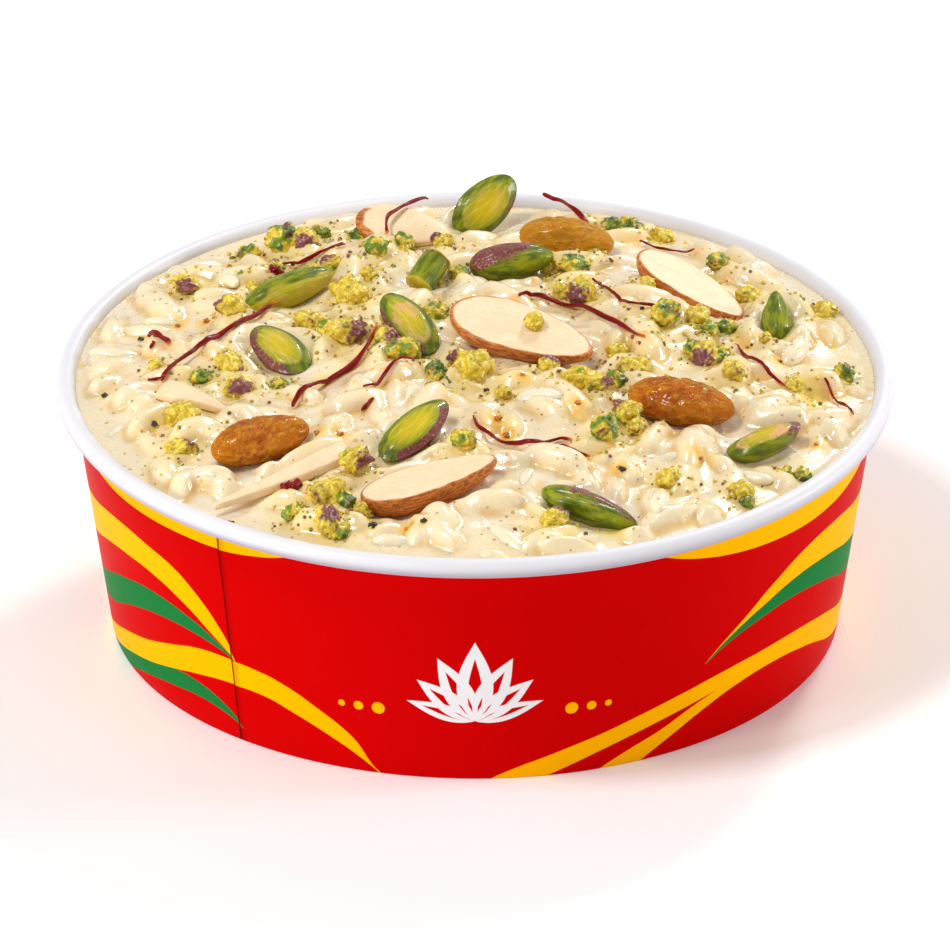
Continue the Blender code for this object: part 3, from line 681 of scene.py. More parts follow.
@dataclass(frozen=True)
class WallPrint:
    """The printed wall: red, with yellow and green sweeps, and a plain lotus in front and behind."""

    bowl: BowlPlan
    red: Colour = (0.59, 0.0004, 0.0008)
    yellow: Colour = (1.0, 0.47, 0.0)
    green: Colour = (0.001, 0.19, 0.040)
    white: Colour = (0.86, 0.85, 0.86)

    # Edges of the sweeps: angle from the front in degrees, and height in millimetres
    TOP_SWEEP = (
        (25, 44.5), (29, 42.4), (34, 40.6), (40, 39.2), (50, 37.9), (60, 37.4), (72, 38.2), (81, 40.6),
        (90, 44.2),
    )
    LEFT_TOP_SWEEP = (
        (25, 44.5), (29, 42.5), (34, 41.2), (40, 40.4), (47, 40.1), (56, 39.8), (66, 40.0), (76, 41.6),
        (90, 46.5),
    )
    WIDE_UPPER = (
        (36.8, 17.2), (39.6, 20.2), (43.7, 23.8), (50, 28.8), (57, 32.0), (65, 32.6), (76, 30.4),
        (90, 27.0),
    )
    WIDE_LOWER = ((36.8, 17.2), (41.6, 21.4), (48, 24.8), (55, 26.8), (63, 26.4), (76, 22.4), (90, 18.2))
    GREEN_LOWER = ((36.8, 17.0), (41.6, 20.2), (48, 22.2), (55, 22.8), (65, 20.6), (76, 15.8), (90, 11.4))
    LEFT_WIDE_UPPER = (
        (38.3, 16.9), (41.0, 22.9), (45.8, 28.9), (50, 31.8), (56, 33.2), (63, 33.6), (76, 31.0),
        (90, 27.0),
    )
    LEFT_WIDE_LOWER = (
        (38.3, 16.9), (43.1, 21.2), (48.5, 25.0), (55, 27.3), (62, 27.4), (70, 25.8), (78, 22.7),
        (90, 18.5),
    )
    LEFT_LEAF_UPPER = ((38.3, 16.9), (41.6, 19.5), (47, 22.2), (56, 23.3), (66, 20.8), (78, 15.4), (90, 11.0))
    LEFT_LEAF_LOWER = (
        (38.3, 16.8), (41, 18.1), (46.5, 19.3), (53.5, 19.1), (62, 16.8), (75, 10.8), (90, 6.6),
    )
    LEFT_UPPER = (
        (13, -1.0), (15, 0.4), (19, 7.0), (25, 12.2), (30, 15.2), (35, 16.7), (40, 17.0), (46, 16.4),
        (53, 13.9), (60, 11.1), (69, 8.0), (77.6, 4.6), (90, 0.2),
    )
    LEFT_LOWER = (
        (14, -1.0), (18, 3.0), (23, 6.6), (29, 9.8), (34, 11.6), (40, 11.8), (47, 10.6), (53, 8.8), (60, 6.5),
        (66, 4.7), (76.6, 1.3), (90, -1.9),
    )
    LEFT_GREEN_UPPER = (
        (38.2, 2.8), (42.4, 6.9), (47.4, 8.8), (53, 8.8), (60, 6.5), (66, 4.7), (76.6, 1.3), (90, -1.9),
    )
    LEFT_GREEN_LOWER = (
        (38.2, 2.8), (42.4, 4.8), (47.4, 5.6), (53.5, 4.9), (60, 3.4), (68, 0.9), (74, -0.9), (90, -1.9),
    )
    RIGHT_UPPER = (
        (1, -1.0), (4, 1.0), (13, 5.0), (20, 7.7), (26, 10.0), (34, 12.5), (41, 14.0), (48, 14.6), (57, 14.4),
        (66, 12.6), (78, 8.4), (90, 5.2),
    )
    RIGHT_LOWER = ((25, -1.0), (32, 4.0), (38, 7.6), (44, 9.9), (52, 10.7), (61, 9.1), (76, 3.2), (90, 0.4))
    NOTCH_UPPER = ((9, -1.0), (14, 1.4), (22, 5.0), (30, 7.9), (36, 9.6), (39.5, 10.4))
    NOTCH_LOWER = ((18, -1.0), (24, 2.8), (30, 5.8), (35, 8.6), (39.5, 10.4))

    # The lotus: each petal's lean in radians with its length and breadth, and each dot's place and
    # radius, then the heights of the lotus on the wall and of the dots on it, in millimetres
    PETALS = (
        (0, 17.0, 3.3), (0.46, 15.0, 2.7), (-0.46, 15.0, 2.7), (0.88, 13.5, 2.3), (-0.88, 13.5, 2.3),
        (1.26, 13.0, 1.7), (-1.26, 13.0, 1.7),
    )
    DOTS = ((17.5, 1.25), (21.2, 0.95), (24.4, 0.7))
    LOTUS_HEIGHT = 12.5
    DOT_HEIGHT = 1.6
    # The wall's radius at the lotus, in millimetres
    LOTUS_REACH = 68.5

    @property
    def seam_angle(self) -> float:
        """The seam's angle from the front, in radians."""
        return math.radians(self.bowl.seam_deg)

    def _edge(self, graph: Graph, share: Value, points: Points) -> Socket:
        """An edge's height in millimetres at an angle that is given as a share of 90 degrees."""
        scaled = [(angle / 90.0, (height + 2.0) / 60.0) for angle, height in points]
        return graph.math("MULTIPLY_ADD", graph.curve(share, scaled), 60.0, -2.0)

    def _sweep(
        self,
        graph: Graph,
        effects: Effects,
        where: tuple[Value, Value],
        lower: Points,
        upper: Points,
    ) -> Socket:
        """The mask of a sweep between two edges.

        Args:
            graph: the material's graph.
            effects: the shared groups.
            where: the angle's share of 90 degrees, and the height in millimetres.
            lower: points of the lower edge.
            upper: points of the upper edge.

        Returns:
            The mask, which ends where both edges begin.
        """
        share, height = where
        mask = graph.group(
            effects.band,
            Height=height,
            Lower=self._edge(graph, share, lower),
            Upper=self._edge(graph, share, upper),
        )
        start = min(lower[0][0], upper[0][0]) / 90.0
        return graph.times(mask, graph.math("GREATER_THAN", share, start))

    def _lotus(self, graph: Graph, effects: Effects, across: Value, height: Value) -> tuple[Value, Value]:
        """A plain lotus with a row of dots on each side.

        Args:
            graph: the material's graph.
            effects: the shared groups.
            across: the distance from the front's middle along the wall, in millimetres.
            height: the height on the wall, in millimetres.

        Returns:
            The masks of the white petals and of the yellow dots.
        """
        up = graph.minus(height, self.LOTUS_HEIGHT)
        flower: Value = 0.0
        for lean, length, breadth in self.PETALS:
            drawn = partial(graph.group, effects.petal, X=across, Y=up, Lean=lean)
            petal = drawn(Length=length, Breadth=breadth)
            inner = drawn(Length=length * 0.80, Breadth=breadth * 0.42)
            flower = graph.math("MAXIMUM", flower, graph.minus(petal, inner, clamp=True))
        dots: Value = 0.0
        side = graph.math("ABSOLUTE", across)
        level = graph.minus(up, self.DOT_HEIGHT)
        for place, radius in self.DOTS:
            distance = graph.length(graph.minus(side, place), level)
            dots = graph.math("MAXIMUM", dots, graph.step(graph.minus(radius, distance), 0.0, 0.12))
        return flower, dots

    def material(self, effects: Effects) -> Finish:
        """Builds the material.

        Args:
            effects: the shared groups.

        Returns:
            The material.
        """
        material, graph, shader = new_material(
            "printed_wall", Specular_IOR_Level=0.006, Coat_Roughness=0.15, Coat_Weight=0.002,
        )
        place = graph.object_place()
        x, y, z = graph.split(graph.vector("MULTIPLY", place, (1.0 / MM,) * 3))
        depth = graph.math("SQRT", graph.math("ADD", graph.times(y, y), 9.0))
        angle = graph.math("ARCTAN2", x, depth)
        share = graph.math("DIVIDE", graph.math("ABSOLUTE", angle), math.pi / 2)
        sweep = partial(self._sweep, graph, effects, (share, z))
        to_left = graph.math("LESS_THAN", x, 0.0)
        to_right = graph.minus(1.0, to_left)
        roof = ((25, 58.0), (90, 58.0))

        top = graph.between(to_left, sweep(self.TOP_SWEEP, roof), sweep(self.LEFT_TOP_SWEEP, roof))
        wide = graph.between(
            to_left,
            sweep(self.WIDE_LOWER, self.WIDE_UPPER),
            sweep(self.LEFT_WIDE_LOWER, self.LEFT_WIDE_UPPER),
        )
        left = graph.times(to_left, sweep(self.LEFT_LOWER, self.LEFT_UPPER))
        right = sweep(self.RIGHT_LOWER, self.RIGHT_UPPER)
        notch = sweep(self.NOTCH_LOWER, self.NOTCH_UPPER)
        notch = graph.times(notch, graph.math("LESS_THAN", share, self.NOTCH_UPPER[-1][0] / 90.0))
        right = graph.times(to_right, graph.minus(right, notch, clamp=True))
        flower, dots = self._lotus(graph, effects, graph.times(angle, self.LOTUS_REACH), z)
        yellow = dots
        for mask in (top, wide, left, right):
            yellow = graph.math("MAXIMUM", yellow, mask)
        under = graph.between(
            to_left,
            sweep(self.GREEN_LOWER, self.WIDE_LOWER),
            sweep(self.LEFT_LEAF_LOWER, self.LEFT_LEAF_UPPER),
        )
        low = sweep(self.LEFT_GREEN_LOWER, self.LEFT_GREEN_UPPER)
        green = graph.math("MAXIMUM", under, graph.times(to_left, low))

        colour = graph.mix(green, self.red, self.green)
        colour = graph.mix(yellow, colour, self.yellow)
        colour = graph.mix(flower, colour, self.white)
        # Painted shadow at the seam: crease is a thin dark line painted along the lap's edge as its shadow,
        # and shade is a wider soft painted shade just past the seam.
        beside_seam = graph.minus(graph.math("ARCTAN2", x, graph.times(y, -1.0)), self.seam_angle)
        crease = graph.step(graph.math("ABSOLUTE", beside_seam), 0.0066, 0.0022)
        shade = graph.step(graph.math("ABSOLUTE", graph.minus(beside_seam, 0.008)), 0.018, 0.0)
        colour = graph.mix(graph.times(shade, 0.30), colour, (0.20, 0.001, 0.001))
        colour = graph.mix(graph.times(crease, 0.85), colour, (0.07, 0.001, 0.001))
        fibres = graph.group(effects.fibres, Vector=place)
        colour = graph.mix(graph.times(fibres, 0.08), colour, (0.25, 0.004, 0.004))
        graph.dress(
            shader,
            colour,
            graph.between(fibres, 0.26, 0.42),
            graph.bump(fibres, 0.10, 0.05 * MM),
        )
        return material


@dataclass(frozen=True)
class Cream:
    """Wet, creamy rice pudding with soft grains under a skin of milk, and painted shade in its creases."""

    name: str
    grain: Colour = (0.88, 0.71, 0.42)
    milk: Colour = (0.905, 0.805, 0.645)
    # The colour of the painted shade in the creases between grains.
    crease: Colour = (0.82, 0.56, 0.22)
    saffron: Colour = (0.93, 0.46, 0.03)
    nut: Colour = (0.88, 0.64, 0.11)

    def material(self, effects: Effects) -> Finish:
        """Builds the material.

        Args:
            effects: the shared groups.

        Returns:
            The material.
        """
        material, graph, shader = new_material(
            self.name, Subsurface_Weight=0.4, Subsurface_Radius=(1.0, 0.68, 0.34),
            Subsurface_Scale=2.1 * MM, Specular_IOR_Level=0.5, Coat_Weight=0.9, Coat_Roughness=0.07,
        )
        place = graph.object_place()
        cloud = graph.noise(place, 170.0, 3.0)
        colour = graph.mix(graph.own("wet"), self.grain, self.milk)
        colour = graph.mix(graph.times(cloud, 0.5), colour, self.milk)
        # Painted shade: the crease mask darkens the hollows between grains towards the crease colour.
        colour = graph.mix(graph.own("crease"), colour, self.crease)
        colour = graph.mix(graph.own("nut_stain"), colour, self.nut)
        colour = graph.mix(graph.own("saffron_stain"), colour, self.saffron)
        dust = graph.group(effects.specks, Vector=place, Scale=900.0, Amount=0.25)
        colour = graph.mix(graph.times(dust, 0.75), colour, (0.46, 0.29, 0.05))
        flecks = graph.group(effects.specks, Vector=place, Scale=330.0, Amount=0.14)
        colour = graph.mix(graph.times(flecks, 0.7), colour, (0.78, 0.42, 0.02))
        ripple = graph.noise(place, 900.0, 3.0, 0.55)
        soft = graph.bump(graph.noise(place, 420.0, 2.0), 0.45, 0.50 * MM)
        rippled = graph.bump(ripple, 0.45, 0.22 * MM, soft)
        glitter = graph.bump(graph.noise(place, 2300.0, 2.0, 0.6), 0.5, 0.08 * MM, rippled)
        graph.dress(shader, colour, graph.between(ripple, 0.16, 0.36), glitter)
        return material


@dataclass(frozen=True)
class Almond:
    """Almond: a cream cut face, and a ribbed brown skin dusted with its own meal."""

    flesh: Colour = (0.90, 0.715, 0.48)
    flesh_shade: Colour = (0.82, 0.57, 0.30)
    skin: Colour = (0.64, 0.20, 0.020)
    skin_rib: Colour = (0.34, 0.080, 0.008)
    meal: Colour = (0.70, 0.36, 0.10)

    def material(self, effects: Effects) -> Finish:
        """Builds the material.

        Args:
            effects: the shared groups.

        Returns:
            The material.
        """
        material, graph, shader = new_material(
            "almond_flesh_and_skin", Subsurface_Weight=0.25, Subsurface_Radius=(1.0, 0.6, 0.35),
            Subsurface_Scale=1.2 * MM, Specular_IOR_Level=0.4, Coat_Roughness=0.25, Coat_Weight=0.12,
        )
        own = graph.own("own", "Vector")
        along = graph.vector("MULTIPLY", own, (0.35, 2.4, 2.4))
        rib = graph.noise(along, 1.0, 3.0, 0.6)
        meal = graph.noise(own, 2.2, 3.0, 0.65)
        skin = graph.mix(graph.step(rib, 0.42, 0.58), self.skin_rib, self.skin)
        skin = graph.mix(graph.times(graph.step(meal, 0.52, 0.72), 0.55), skin, self.meal)
        scratch = graph.noise(graph.vector("MULTIPLY", own, (0.6, 5.0, 1.0)), 1.0, 2.0)
        flesh = graph.mix(graph.noise(own, 0.35, 3.0), self.flesh, self.flesh_shade)
        flesh = graph.mix(graph.times(graph.step(scratch, 0.4, 0.75), 0.35), flesh, (0.96, 0.86, 0.66))
        crumbs = graph.group(effects.specks, Vector=own, Scale=0.9, Amount=0.10)
        flesh = graph.mix(graph.times(crumbs, 0.7), flesh, (0.55, 0.27, 0.03))
        colour = graph.mix(graph.own("cut"), skin, flesh)
        relief = graph.between(graph.own("cut"), rib, graph.times(scratch, 0.4))
        graph.dress(shader, colour, graph.between(rib, 0.38, 0.60), graph.bump(relief, 0.5, 0.25 * MM))
        return material


@dataclass(frozen=True)
class Pistachio:
    """Pistachio: a bright grainy cut face, green flesh, and a papery purple-brown skin in patches."""

    heart: Colour = (0.57, 0.42, 0.003)
    pale: Colour = (0.80, 0.65, 0.055)
    flesh: Colour = (0.29, 0.31, 0.002)
    edge: Colour = (0.080, 0.120, 0.001)
    skin: Colour = (0.18, 0.040, 0.045)
    chaff: Colour = (0.46, 0.25, 0.10)
    pink: Colour = (0.80, 0.40, 0.20)

    def material(self, effects: Effects) -> Finish:
        """Builds the material.

        Args:
            effects: the shared groups.

        Returns:
            The material.
        """
        material, graph, shader = new_material(
            "pistachio_flesh_and_skin", Subsurface_Weight=0.10, Subsurface_Radius=(0.6, 1.0, 0.2),
            Subsurface_Scale=0.8 * MM, Specular_IOR_Level=0.22, Coat_Roughness=0.10, Coat_Weight=0.24,
        )
        own = graph.own("own", "Vector")
        grainy = graph.noise(own, 2.4, 3.0, 0.6)
        blotchy = graph.noise(graph.vector("MULTIPLY", own, (0.22, 0.75, 0.75)), 1.0, 3.0, 0.6)
        streaky = graph.noise(graph.vector("MULTIPLY", own, (0.35, 3.0, 1.0)), 1.0, 2.0)
        heart = graph.mix(graph.own("core"), self.flesh, self.heart)
        heart = graph.mix(graph.times(graph.step(streaky, 0.45, 0.75), 0.5), heart, self.pale)
        flush = graph.step(graph.noise(own, 0.45, 2.0), 0.48, 0.66)
        heart = graph.mix(graph.times(flush, graph.own("pink")), heart, self.pink)
        outside = graph.mix(graph.step(blotchy, 0.36, 0.66), self.edge, self.flesh)
        outside = graph.mix(graph.times(graph.step(grainy, 0.5, 0.75), 0.35), outside, self.edge)
        clinging = graph.math("MULTIPLY_ADD", graph.minus(blotchy, 0.5), 1.5, graph.own("skin"))
        skin = graph.mix(graph.step(grainy, 0.52, 0.70), self.skin, self.chaff)
        outside = graph.mix(graph.step(clinging, 0.22, 0.34), outside, skin)
        colour = graph.mix(graph.own("cut"), outside, heart)
        coarse = graph.bump(blotchy, 0.6, 0.5 * MM)
        fine = graph.bump(graph.noise(own, 6.0, 3.0, 0.6), 0.40, 0.15 * MM, coarse)
        graph.dress(shader, colour, graph.between(grainy, 0.28, 0.52), fine)
        return material


@dataclass(frozen=True)
class Raisin:
    """A golden raisin: clear amber in darker and paler patches, with a painted highlight on its wrinkle
    ridges and a sticky gloss.
    """

    flesh: Colour = (0.86, 0.25, 0.0004)
    deep: Colour = (0.62, 0.125, 0.0002)
    # The colour of the painted highlight on the wrinkle ridges.
    ridge_highlight: Colour = (0.97, 0.50, 0.015)

    def material(self) -> Finish:
        """Builds the material.

        Returns:
            The material.
        """
        material, graph, shader = new_material(
            "golden_raisin_skin", Subsurface_Weight=0.5, Subsurface_Radius=(1.0, 0.34, 0.04),
            Subsurface_Scale=2.0 * MM, Specular_IOR_Level=0.18, Coat_Weight=0.26, Coat_Roughness=0.08,
        )
        own = graph.own("own", "Vector")
        cloud = graph.noise(own, 0.28, 3.0)
        colour = graph.mix(graph.step(cloud, 0.35, 0.65), self.deep, self.flesh)
        # Painted highlight: the ridges of the fine wrinkles are lightened towards the highlight colour.
        colour = graph.mix(graph.own("ridge_highlight"), colour, self.ridge_highlight)
        wrinkle = graph.noise(graph.vector("MULTIPLY", own, (1.8, 2.8, 2.8)), 1.0, 3.0, 0.6)
        folded = graph.bump(graph.math("ABSOLUTE", graph.minus(wrinkle, 0.5)), 1.0, 2.2 * MM)
        sticky = graph.noise(graph.vector("MULTIPLY", own, (4.5, 6.0, 6.0)), 1.0, 2.0, 0.6)
        normal = graph.bump(sticky, 0.8, 0.45 * MM, folded)
        graph.dress(shader, colour, graph.between(wrinkle, 0.14, 0.34), normal)
        return material


@dataclass(frozen=True)
class Crumb:
    """Crushed pistachio: yellow and green meal with bits of purple skin."""

    name: str = "pistachio_meal"
    yellow: Colour = (0.58, 0.39, 0.008)
    pale: Colour = (0.83, 0.65, 0.075)
    green: Colour = (0.17, 0.25, 0.006)
    deep: Colour = (0.045, 0.095, 0.004)
    brown: Colour = (0.34, 0.15, 0.02)
    purple: Colour = (0.20, 0.045, 0.050)

    def material(self) -> Finish:
        """Builds the material.

        Returns:
            The material.
        """
        material, graph, shader = new_material(
            self.name, Subsurface_Weight=0.12, Subsurface_Radius=(0.8, 0.8, 0.2),
            Subsurface_Scale=0.6 * MM, Specular_IOR_Level=0.4, Coat_Weight=0.25, Coat_Roughness=0.15,
        )
        place = graph.object_place()
        meal = graph.noise(place, 1100.0, 3.0, 0.65)
        blotch = graph.noise(place, 420.0, 2.0)
        burnt = graph.noise(place, 760.0, 2.0)
        colour = graph.mix(graph.step(meal, 0.42, 0.62), self.yellow, self.pale)
        green = graph.math("ADD", blotch, graph.math("MULTIPLY_ADD", graph.own("green"), 0.5, -0.3))
        colour = graph.mix(graph.step(green, 0.47, 0.56), colour, self.green)
        colour = graph.mix(graph.step(green, 0.60, 0.70), colour, self.deep)
        colour = graph.mix(graph.times(graph.step(burnt, 0.62, 0.70), 0.7), colour, self.brown)
        colour = graph.mix(graph.own("purple"), colour, self.purple)
        graph.dress(shader, colour, graph.between(meal, 0.25, 0.5), graph.bump(meal, 0.6, 0.35 * MM))
        return material


@dataclass(frozen=True)
class Saffron:
    """A saffron thread: dark crimson, fading to orange at its far end."""

    crimson: Colour = (0.075, 0.0004, 0.001)
    bright: Colour = (0.34, 0.002, 0.002)
    orange: Colour = (0.75, 0.17, 0.01)

    def material(self) -> Finish:
        """Builds the material.

        Returns:
            The material.
        """
        material, graph, shader = new_material(
            "saffron_thread", Specular_IOR_Level=0.16, Coat_Weight=0.05, Coat_Roughness=0.2,
        )
        strand = graph.between(0.35, graph.own("ridge"), graph.noise(graph.object_place(), 900.0, 2.0))
        colour = graph.mix(strand, self.crimson, self.bright)
        colour = graph.mix(graph.step(graph.own("along"), 0.88, 1.0), colour, self.orange)
        graph.dress(shader, colour, graph.between(strand, 0.25, 0.5), graph.bump(strand, 0.4, 0.12 * MM))
        return material


@dataclass(frozen=True)
class Speck:
    """A dark seed speck with a dull gloss."""

    dark: Colour = (0.012, 0.012, 0.008)
    brown: Colour = (0.34, 0.075, 0.008)
    rust: Colour = (0.66, 0.25, 0.03)

    def material(self) -> Finish:
        """Builds the material.

        Returns:
            The material.
        """
        material, graph, shader = new_material("seed_speck", Specular_IOR_Level=0.5)
        place = graph.object_place()
        pits = graph.noise(place, 2600.0, 2.0)
        flake = graph.mix(graph.step(pits, 0.40, 0.60), self.brown, self.rust)
        colour = graph.mix(graph.own("brown"), self.dark, flake)
        graph.dress(shader, colour, graph.between(pits, 0.3, 0.6), graph.bump(pits, 0.5, 0.2 * MM))
        return material


# Pieces


def add_piece(shape: Form, name: str, materials: Sequence[Finish]) -> Piece:
    """Makes a piece of the object from a bmesh, and lets it ride on the one body.

    Args:
        shape: the piece's mesh in the row frame. It is freed.
        name: the piece's name.
        materials: its materials, by face index.

    Returns:
        The piece.
    """
    mesh = bpy.data.meshes.new(name)
    shape.to_mesh(mesh)
    shape.free()
    mesh.shade_smooth()
    for material in materials:
        mesh.materials.append(material)
    piece = bpy.data.objects.new(name, mesh)
    bpy.context.scene.collection.objects.link(piece)
    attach(piece, BODY)
    log.info("%s: %d faces", name, len(mesh.polygons))
    return piece


def number_layers(shape: Form, *names: str) -> list[bmesh.types.BMLayerItem]:
    """Adds layers of numbers to the vertices of a mesh that is still empty."""
    return [shape.verts.layers.float.new(name) for name in names]


def place_on_disc(draw: random.Random, reach: float) -> tuple[float, float]:
    """A place drawn evenly from a disc."""
    radius, angle = reach * math.sqrt(draw.random()), draw.uniform(0, math.tau)
    return radius * math.cos(angle), radius * math.sin(angle)


def drawn_vector(draw: random.Random, *spans: tuple[float, float]) -> Vector:
    """A vector whose numbers are drawn from spans, in their order."""
    return Vector([draw.uniform(low, high) for low, high in spans])


def smooth_share(value: float, low: float, high: float) -> float:
    """A soft step from 0 at low to 1 at high."""
    share = min(max((value - low) / (high - low), 0.0), 1.0)
    return share * share * (3.0 - 2.0 * share)


@dataclass
class PaperBowl:
    """The bowl's turned wall with its rolled rim, hem and seam, and its base disc."""

    plan: BowlPlan
    effects: Effects
    roll_steps: int = 20
    wall_rows: int = 12

    def profile(self) -> list[tuple[float, float]]:
        """The wall's cross-section, as a closed ring of radius and height.

        Returns:
            The ring's points, from the roll's inner side down the outside and back inside the foot.
        """
        plan = self.plan
        middle_radius, middle_height = plan.rim_radius - plan.roll_radius, plan.height - plan.roll_radius
        points = []
        for step in range(self.roll_steps + 1):
            angle = math.radians(180.0 + (plan.roll_end_deg - 180.0) * step / self.roll_steps)
            across, up = plan.roll_radius * math.cos(angle), plan.roll_radius * math.sin(angle)
            points.append((middle_radius + across, middle_height + up))
        under_roll = points[-1][1]
        for row in range(1, self.wall_rows + 1):
            height = under_roll + (plan.foot_rounding - under_roll) * row / self.wall_rows
            points.append((plan.wall_radius(height), height))
        points.append((plan.foot_radius - 0.08 * MM, 0.08 * MM))
        points.append((plan.foot_radius - plan.foot_rounding, 0.0))
        points.append((plan.foot_radius - plan.hem + 0.2 * MM, 0.0))
        points.append((plan.foot_radius - plan.hem, 0.2 * MM))
        hem_radius = plan.wall_radius(plan.hem_height)
        points.append((hem_radius - plan.hem, plan.hem_height - 0.2 * MM))
        points.append((hem_radius - plan.hem + 0.3 * MM, plan.hem_height))
        points.append((hem_radius - plan.wall, plan.hem_height))
        return points

    def build(self) -> Piece:
        """Builds the wall.

        Returns:
            The piece that stands for the solid wall.
        """
        plan = self.plan
        shape = bmesh.new()
        ring = [shape.verts.new((radius, 0.0, height)) for radius, height in self.profile()]
        edges = [shape.edges.new(pair) for pair in zip(ring, ring[1:] + ring[:1])]
        bmesh.ops.spin(
            shape,
            geom=ring + edges,
            cent=(0, 0, 0),
            axis=(0, 0, 1),
            angle=math.tau,
            steps=plan.segments,
            use_merge=True,
        )
        bmesh.ops.remove_doubles(shape, verts=shape.verts, dist=0.002 * MM)
        bmesh.ops.recalc_face_normals(shape, faces=shape.faces)
        self._lap_seam(shape)
        for face in shape.faces:
            middle = face.calc_center_median()
            outside = math.hypot(middle.x, middle.y) > plan.wall_radius(middle.z) - 0.25 * MM
            printed = outside and middle.z < plan.height - 2 * plan.roll_radius - 0.1 * MM
            face.material_index = 0 if printed else 1
        paper = WhitePaper("rim_and_inside_paper").material(self.effects)
        sweeps = WallPrint(plan).material(self.effects)
        piece = add_piece(shape, "paper_wall", [sweeps, paper])
        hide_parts("bowl_wall")
        piece.data.set_sharp_from_angle(angle=math.radians(32))
        return piece

    def _lap_seam(self, shape: Form) -> None:
        """Raises the lap of the side seam on the outside of the wall.

        Args:
            shape: the turned wall.
        """
        plan = self.plan
        start = math.radians(plan.seam_deg)
        cut_step = 0.12 * MM / plan.rim_radius
        for angle in (start - cut_step, start):
            normal = (math.cos(angle), math.sin(angle), 0.0)
            geometry = shape.verts[:] + shape.edges[:] + shape.faces[:]
            bmesh.ops.bisect_plane(shape, geom=geometry, dist=1e-7, plane_co=(0, 0, 0), plane_no=normal)
        top = plan.height - 2 * plan.roll_radius
        for vert in shape.verts:
            radius = math.hypot(vert.co.x, vert.co.y)
            outside = abs(radius - plan.wall_radius(vert.co.z)) < 0.1 * MM
            share = (math.atan2(vert.co.x, -vert.co.y) - start) * radius / plan.lap_width
            if outside and 0.0 < vert.co.z < top and -1e-4 <= share <= 1.0:
                end = smooth_share(vert.co.z, 0.2 * MM, 1.6 * MM)
                end *= smooth_share(top - vert.co.z, 0.0, 1.0 * MM)
                swell = 1.0 + plan.lap_proud * (1.0 - 0.85 * share) * end / radius
                vert.co.x *= swell
                vert.co.y *= swell

    def dress_base(self) -> None:
        """Gives the solid base disc its board."""
        board = WhitePaper("base_board", (0.84, 0.83, 0.81), 0.55).material(self.effects)
        for slot in bpy.data.objects["bowl_base"].material_slots:
            slot.material = board


